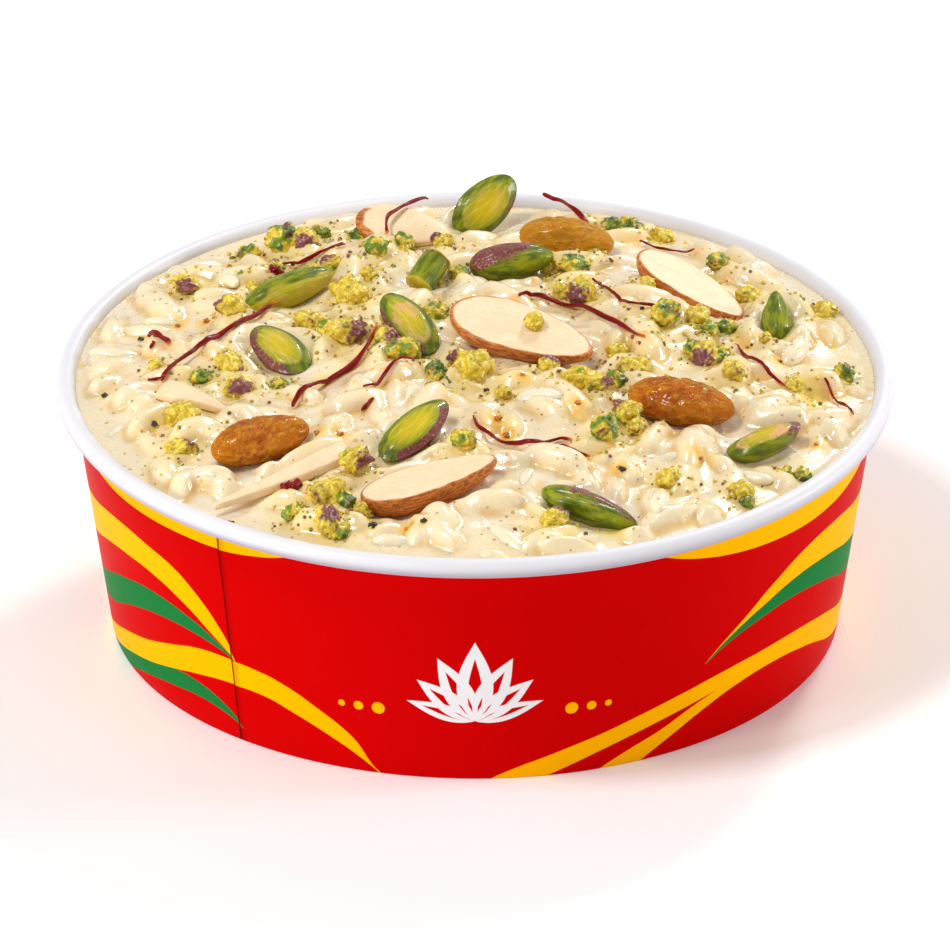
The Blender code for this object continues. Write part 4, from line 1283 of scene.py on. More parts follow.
class Relief:
    """The pudding's height field on a raster, with its masks of milk, of painted shade in the creases, and of
    stains.
    """

    STEP = 0.3 * MM
    HALF = 75.0 * MM
    MASKS = ("wet", "crease", "nut_stain", "saffron_stain")

    def __init__(self, heap: PuddingPlan) -> None:
        """Lays out the bare heap.

        Args:
            heap: the pudding's sizes.
        """
        self.heap = heap
        self.count = int(round(2 * self.HALF / self.STEP)) + 1
        axis = np.linspace(-self.HALF, self.HALF, self.count)
        self.x, self.y = np.meshgrid(axis, axis, indexing="ij")
        bare = [heap.bare_height(x, y) for x in axis for y in axis]
        self.bare = np.array(bare).reshape(self.count, self.count)
        self.height = self.bare.copy()
        self.wet = np.zeros_like(self.bare)
        self.crease = np.zeros_like(self.bare)
        self.nut_stain = np.zeros_like(self.bare)
        self.saffron_stain = np.zeros_like(self.bare)

    def window(self, x: float, y: float, reach: float) -> Window:
        """The part of the raster within a reach of a point.

        Args:
            x: the point's place across.
            y: its place in depth.
            reach: how far the part goes.

        Returns:
            The part's slices across and in depth.
        """
        slices = []
        for middle in (x, y):
            low = int((middle - reach + self.HALF) / self.STEP)
            high = int((middle + reach + self.HALF) / self.STEP) + 2
            slices.append(slice(max(low, 0), min(high, self.count)))
        return slices[0], slices[1]

    def own_axes(self, part: Window, x: float, y: float, yaw: float) -> tuple[np.ndarray, np.ndarray]:
        """Distances along and across a direction from a point, over a part of the raster."""
        dx, dy = self.x[part] - x, self.y[part] - y
        return dx * math.cos(yaw) + dy * math.sin(yaw), dy * math.cos(yaw) - dx * math.sin(yaw)

    def press_grain(
        self, x: float, y: float, size: tuple[float, float], yaw: float, tilt: float, sunk: float
    ) -> None:
        """Lets a soft grain of rice swell out of the surface.

        Args:
            x: its place across.
            y: its place in depth.
            size: its length and breadth.
            yaw: its direction.
            tilt: how much its far end rises, as a slope.
            sunk: how far its middle lies under the bare heap.
        """
        length, breadth = size
        part = self.window(x, y, length / 2)
        along, across = self.own_axes(part, x, y, yaw)
        bend = across - 0.05 * along * np.abs(along) / length
        inside = np.abs(along / (length / 2)) ** 2.5 + np.abs(bend / (breadth / 2)) ** 2
        dome = np.clip(1.0 - inside, 0.0, 1.0) ** 0.72 * breadth * 0.42
        middle = self.heap.bare_height(x, y) - sunk
        raised = np.where(inside < 1.0, middle + tilt * along + dome, 0.0)
        self.height[part] = np.maximum(self.height[part], raised)

    def blurred(self, field_values: np.ndarray, spread: float) -> np.ndarray:
        """A field smoothed by a Gaussian of a spread in metres.

        Args:
            field_values: the field on the raster.
            spread: the Gaussian's spread.

        Returns:
            The smoothed field.
        """
        sigma = spread / self.STEP
        reach = int(3 * sigma) + 1
        weights = np.exp(-0.5 * (np.arange(-reach, reach + 1) / sigma) ** 2)
        weights /= weights.sum()
        for axis in (0, 1):
            margins = [(reach, reach) if a == axis else (0, 0) for a in (0, 1)]
            padded = np.pad(field_values, margins, mode="edge")
            size = field_values.shape[axis]
            pieces = [
                weight * (padded[k : k + size, :] if axis == 0 else padded[:, k : k + size])
                for k, weight in enumerate(weights)
            ]
            field_values = np.sum(pieces, axis=0)
        return field_values

    def coat(self, toppings: Sequence[Topping]) -> None:
        """Pours the milk: softens the grains, fills the creases and lets it lie round the toppings.

        Args:
            toppings: the separate nuts and raisins.
        """
        soft = self.blurred(self.height, 0.46 * MM)
        level = self.blurred(self.height, 4.2 * MM) - 0.70 * MM
        calm = np.ones_like(soft)
        for topping in toppings:
            length, breadth, _ = (value * MM for value in topping.size)
            part = self.window(topping.x * MM, topping.y * MM, length / 2 + 5 * MM)
            along, across = self.own_axes(part, topping.x * MM, topping.y * MM, math.radians(topping.yaw))
            reach = np.hypot(along / (length / 2), across / (breadth / 2)) * breadth / 2 - breadth / 2
            calm[part] = np.minimum(calm[part], np.clip((reach + 0.4 * MM) / (2.6 * MM), 0.0, 1.0))
        blend = 0.30 * MM
        level = level * calm + (self.bare - 0.80 * MM) * (1.0 - calm)
        over = (soft - level) * (0.10 + 0.90 * calm)
        poured = level + blend * np.logaddexp(0.0, over / blend)
        self.wet = np.clip(0.5 - over / (1.1 * MM) + 0.5 * (1.0 - calm), 0.0, 1.0)
        # Mask for the painted crease shade: high where the poured surface lies below its own blurred level,
        # in the hollows between grains.
        self.crease = np.clip((self.blurred(poured, 1.0 * MM) - poured) / (0.35 * MM), 0.0, 1.0)
        distance = np.hypot(self.x, self.y)
        edge = np.clip((self.heap.reach(self.heap.fill_level) - distance) / (2.2 * MM), 0.0, 1.0)
        self.height = self.heap.fill_level + (poured - self.heap.fill_level) * edge
        self.height += 0.35 * MM * np.exp(-((distance - 71.2 * MM) ** 2) / (2 * (0.9 * MM) ** 2))

    def stain(self, target: np.ndarray, x: float, y: float, spread: float, strength: float) -> None:
        """Lets colour seep into the milk round a point.

        Args:
            target: the mask that takes it.
            x: the point's place across.
            y: its place in depth.
            spread: how far the colour seeps.
            strength: how strong it is at the point.
        """
        part = self.window(x, y, 3 * spread)
        seep = strength * np.exp(-0.5 * ((self.x[part] - x) ** 2 + (self.y[part] - y) ** 2) / spread**2)
        target[part] = np.maximum(target[part], seep)

    def sample(self, field_values: np.ndarray, x: np.ndarray, y: np.ndarray) -> np.ndarray:
        """A field's values at any places, between its raster points.

        Args:
            field_values: the field on the raster.
            x: the places across.
            y: the places in depth.

        Returns:
            The values there.
        """
        u = np.clip((x + self.HALF) / self.STEP, 0, self.count - 1.001)
        v = np.clip((y + self.HALF) / self.STEP, 0, self.count - 1.001)
        i, j = u.astype(int), v.astype(int)
        fu, fv = u - i, v - j
        near = field_values[i, j] * (1 - fv) + field_values[i, j + 1] * fv
        far = field_values[i + 1, j] * (1 - fv) + field_values[i + 1, j + 1] * fv
        return near * (1 - fu) + far * fu

    def top(self, x: float, y: float) -> float:
        """The finished surface's height at one place."""
        return float(self.sample(self.height, np.array([x]), np.array([y]))[0])


@dataclass
class Pudding:
    """The rice pudding: its coated surface, and the grains that stand proud of it."""

    heap: PuddingPlan
    effects: Effects
    toppings: Sequence[Topping]
    cells: int = 340
    soft_grains: int = 400
    proud_grains: int = 24
    loose_stains: int = 70
    grain_reach: float = 69.0 * MM
    stain_reach: float = 66.0 * MM
    proud_reach: float = 65.5 * MM
    proud_wetness: float = 0.25
    seed: int = 5
    relief: Relief = field(init=False)

    def prepare(self) -> None:
        """Works out the relief of the surface, and the stains round what lies on it."""
        relief = Relief(self.heap)
        draw = random.Random(self.seed)
        for _ in range(self.soft_grains):
            x, y = place_on_disc(draw, self.grain_reach)
            relief.press_grain(
                x,
                y,
                (draw.uniform(9.0, 15.0) * MM, draw.uniform(3.8, 5.8) * MM),
                draw.uniform(0, math.pi),
                draw.uniform(-0.22, 0.22),
                draw.uniform(-0.7, 1.1) * MM,
            )
        for x, y, length, breadth, turn, up in GRAINS:
            relief.press_grain(x * MM, y * MM, (length * MM, breadth * MM), math.radians(turn), 0.0, -up * MM)
        relief.coat(self.toppings)
        for x, y, breadth, _ in CRUMBS:
            relief.stain(relief.nut_stain, x * MM, y * MM, 0.70 * breadth * MM, 0.60)
        for x, y, _ in SPECKS:
            relief.stain(relief.nut_stain, x * MM, y * MM, 0.9 * MM, 0.8)
        for x, y, breadth in FLECKS:
            relief.stain(relief.saffron_stain, x * MM, y * MM, (0.55 * breadth + 0.3) * MM, 0.9)
            relief.stain(relief.nut_stain, x * MM, y * MM, (0.8 * breadth + 0.7) * MM, 0.8)
        for x, y, spread in SOAKED:
            relief.stain(relief.nut_stain, x * MM, y * MM, spread * MM, 0.95)
        for _ in range(self.loose_stains):
            spot = place_on_disc(draw, self.stain_reach)
            target = relief.saffron_stain if draw.random() < 0.45 else relief.nut_stain
            relief.stain(target, *spot, draw.uniform(0.4, 0.8) * MM, draw.uniform(0.5, 0.95))
        for _, points in THREADS:
            for x, y, _ in points:
                relief.stain(relief.saffron_stain, x * MM, y * MM, 1.3 * MM, 0.32)
        self.relief = relief

    def build(self) -> list[Piece]:
        """Builds the surface and the proud grains.

        Returns:
            The two pieces.
        """
        cream = Cream("kheer_cream").material(self.effects)
        surface = add_piece(self._surface(), "kheer_surface", [cream])
        surface.data.set_sharp_from_angle(angle=math.radians(70))
        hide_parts("pudding")
        grain_finish = Cream("rice_grain", (0.90, 0.745, 0.47), (0.91, 0.79, 0.60)).material(self.effects)
        grains = add_piece(self._grains(), "rice_grains", [grain_finish])
        return [surface, grains]

    def _surface(self) -> Form:
        """The heap's closed mesh: the relief on top, the conical side and the flat underside.

        Returns:
            The mesh, with the relief's masks.
        """
        relief = self.relief
        flat = bmesh.new()
        bmesh.ops.create_grid(flat, x_segments=self.cells, y_segments=self.cells, size=1.0)
        mesh = bpy.data.meshes.new("heap")
        flat.to_mesh(mesh)
        flat.free()
        places = np.empty(len(mesh.vertices) * 3)
        mesh.vertices.foreach_get("co", places)
        places = places.reshape(-1, 3)
        reach = self.heap.bowl.wall_radius(self.heap.fill_level) - self.heap.bowl.wall + 0.08 * MM
        x, y = self._on_disc(places[:, 0], places[:, 1])
        x, y = x * reach, y * reach
        places[:, 0], places[:, 1], places[:, 2] = x, y, relief.sample(relief.height, x, y)
        mesh.vertices.foreach_set("co", places.ravel())
        for name in Relief.MASKS:
            layer = mesh.attributes.new(name, "FLOAT", "POINT")
            layer.data.foreach_set("value", relief.sample(getattr(relief, name), x, y))
        shape = bmesh.new()
        shape.from_mesh(mesh)
        bpy.data.meshes.remove(mesh)
        rim = [edge for edge in shape.edges if edge.is_boundary]
        lowered = bmesh.ops.extrude_edge_only(shape, edges=rim)["geom"]
        share = self.heap.reach(self.heap.bottom) / reach
        for vert in (item for item in lowered if isinstance(item, bmesh.types.BMVert)):
            vert.co = (vert.co.x * share, vert.co.y * share, self.heap.bottom)
        bmesh.ops.contextual_create(shape, geom=[edge for edge in shape.edges if edge.is_boundary])
        bmesh.ops.recalc_face_normals(shape, faces=shape.faces)
        return shape

    @staticmethod
    def _on_disc(u: np.ndarray, v: np.ndarray) -> tuple[np.ndarray, np.ndarray]:
        """Maps the square from -1 to 1 on a disc of radius 1, with cells of like size.

        Args:
            u: the places across the square.
            v: the places in its depth.

        Returns:
            The places on the disc.
        """
        wide = np.abs(u) > np.abs(v)
        safe_u, safe_v = np.where(u == 0, 1.0, u), np.where(v == 0, 1.0, v)
        radius = np.where(wide, u, v)
        angle = np.where(wide, math.pi / 4 * v / safe_u, math.pi / 2 - math.pi / 4 * u / safe_v)
        return radius * np.cos(angle), radius * np.sin(angle)

    def _grains(self) -> Form:
        """Swollen grains of rice that stand a little proud of the milk.

        Returns:
            The mesh, with the relief's masks.
        """
        draw = random.Random(self.seed + 1)
        shape = bmesh.new()
        wet = number_layers(shape, *Relief.MASKS)[0]
        placed: list[tuple[float, float]] = []
        for _ in range(60 * self.proud_grains):
            if len(placed) == self.proud_grains:
                break
            x, y = place_on_disc(draw, self.proud_reach)
            if any(math.hypot(x - a, y - b) < 9.0 * MM for a, b in placed) or not self._clear(x, y, 4.2 * MM):
                continue
            placed.append((x, y))
            length, breadth = draw.uniform(8.5, 11.5) * MM, draw.uniform(3.2, 4.2) * MM
            bend = draw.uniform(-0.8, 0.8) * MM
            made = bmesh.ops.create_uvsphere(shape, u_segments=28, v_segments=20, radius=0.5)["verts"]
            bmesh.ops.transform(shape, matrix=Matrix.Rotation(math.pi / 2, 4, "Y"), verts=made)
            for vert in made:
                along = 2 * vert.co.x
                across = vert.co.y * breadth + bend * along * along
                vert.co = (along * length / 2, across, vert.co.z * breadth * 0.9)
                vert[wet] = self.proud_wetness
            tilt = math.radians(draw.uniform(-14, 14))
            turn = Matrix.Rotation(draw.uniform(0, math.pi), 4, "Z") @ Matrix.Rotation(tilt, 4, "Y")
            height = self.relief.top(x, y) - draw.uniform(1.1, 1.7) * MM
            bmesh.ops.transform(shape, matrix=Matrix.Translation((x, y, height)) @ turn, verts=made)
        return shape

    def _clear(self, x: float, y: float, margin: float) -> bool:
        """Whether a place keeps clear of every topping, crumb and thread.

        Args:
            x: the place across.
            y: the place in depth.
            margin: how far a topping has to be.

        Returns:
            Whether it does.
        """
        small = [(a, b, 0.5 * breadth + 4.0) for a, b, breadth, _ in CRUMBS]
        small += [(a, b, 5.0) for _, points in THREADS for a, b, _ in points]
        if any(math.hypot(x / MM - a, y / MM - b) < reach for a, b, reach in small):
            return False
        for topping in self.toppings:
            yaw = math.radians(topping.yaw)
            dx, dy = x - topping.x * MM, y - topping.y * MM
            along, across = dx * math.cos(yaw) + dy * math.sin(yaw), dy * math.cos(yaw) - dx * math.sin(yaw)
            length, breadth = topping.size[0] * MM / 2 + margin, topping.size[1] * MM / 2 + margin
            if (along / length) ** 2 + (across / breadth) ** 2 < 1.0:
                return False
        return True


@dataclass
class NutsAndRaisins:
    """The separate nuts and raisins, each shaped along its own axes and then laid in its place."""

    heap: PuddingPlan
    effects: Effects
    toppings: Sequence[Topping]
    around: int = 72
    rings: int = 56

    def build(self) -> list[Piece]:
        """Builds every topping.

        Returns:
            The pieces, in the order of the toppings.
        """
        finishes = {
            "almond": (Almond().material(self.effects), "almond_flesh"),
            "pistachio": (Pistachio().material(self.effects), "pistachio_green"),
            "raisin": (Raisin().material(), "golden_raisin"),
        }
        shapers = {
            Shape.ALMOND_HALF: self.almond_half,
            Shape.PISTACHIO_HALF: self.pistachio_half,
            Shape.PISTACHIO_WHOLE: self.pistachio_whole,
            Shape.PISTACHIO_CHUNK: self.pistachio_chunk,
            Shape.PISTACHIO_CHIP: self.pistachio_chip,
            Shape.ALMOND_SLICE: self.almond_slice,
            Shape.ALMOND_SLIVER: self.almond_sliver,
            Shape.RAISIN: self.raisin,
        }
        pieces = []
        for topping in self.toppings:
            shape = shapers[topping.shape](topping)
            bmesh.ops.recalc_face_normals(shape, faces=shape.faces)
            bmesh.ops.transform(shape, matrix=topping.place(self.heap), verts=shape.verts)
            material, slot = finishes[topping.shape.value.split("_")[0]]
            piece = add_piece(shape, topping.node + "_dressed", [material])
            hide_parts(topping.node)
            pieces.append(piece)
        return pieces

    def _ovoid(self, size: tuple[float, float, float], taper: float) -> Form:
        """A nut's body along X, widest behind the middle and narrowing to +X by taper.

        Args:
            size: its length, width and height in millimetres.
            taper: how much it narrows.

        Returns:
            The body's mesh.
        """
        length, width, height = (value * MM for value in size)
        body = bmesh.new()
        bmesh.ops.create_uvsphere(body, u_segments=self.around, v_segments=self.rings, radius=0.5)
        bmesh.ops.transform(body, matrix=Matrix.Rotation(math.pi / 2, 4, "Y"), verts=body.verts)
        for vert in body.verts:
            narrow = 1.0 - taper * 2 * vert.co.x
            vert.co = (vert.co.x * length, vert.co.y * width * narrow, vert.co.z * height * narrow)
        return body

    @staticmethod
    def _remember(body: Form, **fields: object) -> None:
        """Stores each vertex's place in the nut's own axes, in millimetres, and named numbers.

        Args:
            body: the nut's mesh, still in its own axes.
            **fields: a number, or a function of the vertex's place in millimetres, by name.
        """
        own = body.verts.layers.float_vector.new("own")
        layers = {name: body.verts.layers.float.new(name) for name in fields}
        for vert in body.verts:
            place = vert.co / MM
            vert[own] = place
            for name, value in fields.items():
                vert[layers[name]] = value(place) if callable(value) else value

    @staticmethod
    def _outward(place: Vector, size: tuple[float, float, float], taper: float) -> float:
        """How far out a place on a half nut lies: 0 on its middle line and 1 at its outline.

        Args:
            place: the place in the nut's own axes.
            size: the nut's size in millimetres.
            taper: how much it narrows to +X.

        Returns:
            That share.
        """
        length, width = size[0] * MM, size[1] * MM
        narrow = 1.0 - taper * 2 * place.x / length
        return math.hypot(2 * place.x / length, 2 * place.y / (width * narrow))

    def _halve(self, body: Form, topping: Topping, taper: float, shoulder: tuple[float, float]) -> None:
        """Presses a nut's upper side to a slightly uneven cut face with a sloping shoulder.

        Args:
            body: the nut in its own axes.
            topping: the nut's sizes.
            taper: how much it narrows to +X.
            shoulder: where the shoulder starts, outward from 0 to 1, and its drop in metres.
        """
        cut = 0.12 * topping.size[2] * MM
        rounding = 0.18 * MM
        for vert in body.verts:
            outward = self._outward(vert.co, topping.size, taper)
            spot = Vector((vert.co.x / (4 * MM), vert.co.y / (2.2 * MM), topping.x))
            uneven = 0.12 * MM * noise.noise(spot)
            level = cut + uneven - shoulder[1] * smooth_share(outward, shoulder[0], 1.08)
            level -= topping.cut[0] * vert.co.y
            over = (vert.co.z - level) / rounding
            if over > -6:
                vert.co.z = level - rounding * math.log1p(math.exp(min(-over, 40.0)))

    def almond_half(self, topping: Topping) -> Form:
        """A split almond: ribbed skin below, and a cream face above inside the skin's thin edge.

        Args:
            topping: its sizes and skin.

        Returns:
            The mesh, in its own axes.
        """
        length, width, thickness = topping.size
        body = self._ovoid((length, width, 2 * thickness), 0.22)
        for vert in body.verts:
            turn = math.atan2(vert.co.z, vert.co.y)
            rib = noise.noise(Vector((vert.co.x / (9 * MM), 4.2 * turn, topping.x)))
            vert.co.y *= 1.0 + 0.020 * rib
            vert.co.z *= 1.0 + 0.020 * rib
        self._halve(body, topping, 0.22, (0.90, 0.25 * MM))
        low = 0.12 * thickness - 0.75

        def cut(place: Vector) -> float:
            """Bare flesh: on the face, inside the skin's edge."""
            outward = self._outward(place * MM, topping.size, 0.22) + 0.03 * noise.noise(place / 2.6)
            return (1.0 - smooth_share(outward, 0.93, 0.97)) * smooth_share(place.z, low, low + 0.2)

        self._remember(body, cut=cut)
        return body

    def pistachio_half(self, topping: Topping) -> Form:
        """A split pistachio: a narrow bright face between green shoulders, with skin on one side.

        Args:
            topping: its sizes and skin.

        Returns:
            The mesh, in its own axes.
        """
        length, width, thickness = topping.size
        body = self._ovoid((length, width, 2 * thickness), 0.08)
        for vert in body.verts:
            turn = math.atan2(vert.co.z, vert.co.y)
            ridge = noise.noise(Vector((vert.co.x / (7 * MM), 2.2 * turn, topping.x)))
            vert.co.y *= 1.0 + 0.04 * ridge
            vert.co.z *= 1.0 + 0.04 * ridge
        self._halve(body, topping, 0.08, (0.58, 1.3 * MM))
        low = 0.12 * thickness - 1.4
        half_length, half_width = length / 2, width / 2

        def outward(place: Vector) -> float:
            """How far out a place lies, along an uneven outline."""
            return self._outward(place * MM, topping.size, 0.08) + 0.05 * noise.noise(place / 2.2)

        def cut(place: Vector) -> float:
            """The bright face."""
            height = place.z + topping.cut[0] * place.y
            return (1.0 - smooth_share(outward(place), 0.70, 0.78)) * smooth_share(height, low, low + 0.2)

        def core(place: Vector) -> float:
            """How near the face's place is to its middle line."""
            return 1.0 - smooth_share(outward(place), 0.25, 0.72)

        def skin(place: Vector) -> float:
            """How much skin clings there."""
            amount, to_end, to_flank = topping.skin
            return amount + to_end * place.x / half_length + to_flank * place.y / half_width

        self._remember(body, core=core, skin=skin, cut=cut, pink=topping.cut[1])
        return body

    def pistachio_whole(self, topping: Topping) -> Form:
        """A whole kernel or long piece, with shallow ridges and the groove between its halves.

        Args:
            topping: its sizes and skin.

        Returns:
            The mesh, in its own axes.
        """
        body = self._ovoid(topping.size, 0.12)
        half_length, half_width = topping.size[0] / 2, topping.size[1] / 2
        for vert in body.verts:
            turn = math.atan2(vert.co.z, vert.co.y)
            along = vert.co.x / (half_length * MM)
            groove = math.exp(-(((turn - 2.0 + 0.35 * along) / 0.16) ** 2)) * (1.0 - along * along)
            ridge = math.sin(3 * turn + 0.8) * 0.035 - 0.13 * groove
            ridge += 0.07 * noise.noise(Vector((vert.co.x / (3 * MM), 1.8 * turn, topping.x)))
            vert.co.y *= 1.0 + ridge
            vert.co.z *= 1.0 + ridge

        amount, to_end, to_flank = topping.skin

        def skin(place: Vector) -> float:
            """How much skin clings there: most on top."""
            top = 0.45 * smooth_share(place.z / half_width, 0.0, 0.8) - 0.2
            return amount + top + to_end * place.x / half_length + to_flank * place.y / half_width

        def cut(place: Vector) -> float:
            """The flank that is cut, along an uneven line."""
            front = -(place.y + 0.25 * place.z) / half_width + 0.35 * noise.noise(place / 3.0)
            return topping.cut[2] * smooth_share(front, 0.05, 0.22)

        self._remember(body, core=0.45, cut=cut, skin=skin, pink=topping.cut[1])
        return body

    def pistachio_chunk(self, topping: Topping) -> Form:
        """A short piece with two cut ends.

        Args:
            topping: its sizes and skin.

        Returns:
            The mesh, in its own axes.
        """
        length, width, height = (value * MM for value in topping.size)
        body = self._ovoid(topping.size, 0.0)
        for vert in body.verts:
            share = 2 * vert.co.x / length
            boxed = math.copysign(abs(share) ** 0.35, share) if share else 0.0
            around = math.hypot(vert.co.y / width, vert.co.z / height)
            turn = math.atan2(vert.co.z, vert.co.y)
            full = 0.5 * min(1.0, 3.0 * around)
            uneven = 1.0 + 0.09 * noise.noise(Vector((share * 1.5, 1.4 * turn, 3.0)))
            vert.co = (
                boxed * length / 2,
                full * width * math.cos(turn) * uneven,
                full * height * math.sin(turn) * uneven,
            )
        half = topping.size[0] / 2
        self._remember(
            body,
            skin=lambda place: topping.skin[0] + topping.skin[1] * place.x / half,
            core=0.7,
            pink=topping.cut[1],
            cut=lambda place: smooth_share(abs(place.x), 0.80 * half, 0.92 * half),
        )
        return body

    def pistachio_chip(self, topping: Topping) -> Form:
        """A pointed dark chip with a ridge along its back.

        Args:
            topping: its sizes and skin.

        Returns:
            The mesh, in its own axes.
        """
        body = self._ovoid(topping.size, 0.42)
        for vert in body.verts:
            if vert.co.z > 0:
                vert.co.z *= 1.15 - 0.5 * abs(vert.co.y) / (topping.size[1] * MM)
            wave = 0.07 * noise.noise(vert.co / (2.2 * MM))
            vert.co.y *= 1.0 + wave
            vert.co.z *= 1.0 + wave
        self._remember(body, skin=topping.skin[0], core=0.0, cut=0.0, pink=0.0)
        return body

    def almond_slice(self, topping: Topping) -> Form:
        """A flat slice with a rounded edge, and a strip of skin along the front of its blunt end.

        Args:
            topping: its sizes and skin.

        Returns:
            The mesh, in its own axes.
        """
        length, width, thickness = topping.size
        body = self._ovoid((length, width, thickness), 0.22)
        for vert in body.verts:
            share = vert.co.z / (thickness * MM / 2)
            vert.co.z = math.copysign(min(abs(share) ** 0.35, 1.0), share) * thickness * MM / 2 * 0.96

        def cut(place: Vector) -> float:
            """Bare flesh: all but the strip of skin.

            Args:
                place: the place in millimetres.

            Returns:
                The share of flesh.
            """
            outward = self._outward(place * MM, topping.size, 0.22) + 0.05 * noise.noise(place / 1.8)
            strip = smooth_share(outward, 0.80, 0.86) * smooth_share(-place.x / length, -0.02, 0.08)
            return 1.0 - strip * smooth_share(-place.y / width, -0.30, -0.20)

        self._remember(body, cut=cut)
        return body

    def almond_sliver(self, topping: Topping) -> Form:
        """A long wedge of blanched almond, slightly bowed, that runs out to a point at +X.

        Args:
            topping: its sizes and skin.

        Returns:
            The mesh, in its own axes.
        """
        length, width, thickness = (value * MM for value in topping.size)
        body = bmesh.new()
        bmesh.ops.create_cube(body, size=1.0)
        bmesh.ops.subdivide_edges(body, edges=body.edges[:], cuts=14, use_grid_fill=True)
        for vert in body.verts:
            share = vert.co.x + 0.5
            narrow = 0.12 + 0.88 * min(1.0, 1.25 * (1.0 - share)) ** 0.75
            bow = 0.10 * width * math.sin(math.pi * share)
            across, up = 2 * vert.co.y, 2 * vert.co.z
            corner = 1.0 - 0.16 * (across * across * up * up)
            uneven = 0.12 * MM * noise.noise(Vector((share * 7, across * 1.5, up * 1.5 + topping.x)))
            vert.co = (
                vert.co.x * length * 0.99,
                vert.co.y * width * narrow * corner * 0.98 + bow,
                vert.co.z * thickness * (0.45 + 0.45 * narrow) * corner + uneven * 0.5,
            )
        self._remember(body, cut=1.0)
        return body

    def raisin(self, topping: Topping) -> Form:
        """A plump raisin: long creases, then fine wrinkles that run into each other.

        Args:
            topping: its sizes and skin.

        Returns:
            The mesh, in its own axes.
        """
        body = self._ovoid(topping.size, 0.06)
        half_length = topping.size[0] * MM / 2
        ridge_highlight = body.verts.layers.float.new("ridge_highlight")
        for vert in body.verts:
            turn = math.atan2(vert.co.z, vert.co.y)
            along = vert.co.x / half_length
            ring = Vector((vert.co.x / (5.5 * MM), 1.25 * math.cos(turn), 1.25 * math.sin(turn) + topping.x))
            crease = 0.05 * math.sin(5 * turn + 2.4 * along) * (1.0 - along * along)
            fine = 1.0 - abs(noise.noise(ring * 2.2)) * 3.0
            finer = 1.0 - abs(noise.noise(ring * 5.0)) * 3.0
            wrinkle = 0.044 * fine + 0.032 * finer
            # Painted highlight along the ridges of the fine wrinkles, raised all over by the raisin's second
            # cut number.
            vert[ridge_highlight] = min(1.0, 0.7 * smooth_share(0.5 * fine + 0.5 * finer, 0.30, 0.95) + topping.cut[1])
            vert.co.y *= 0.945 + crease * 0.8 + wrinkle
            vert.co.z *= 0.945 + crease * 0.8 + wrinkle
        self._remember(body)
        return body


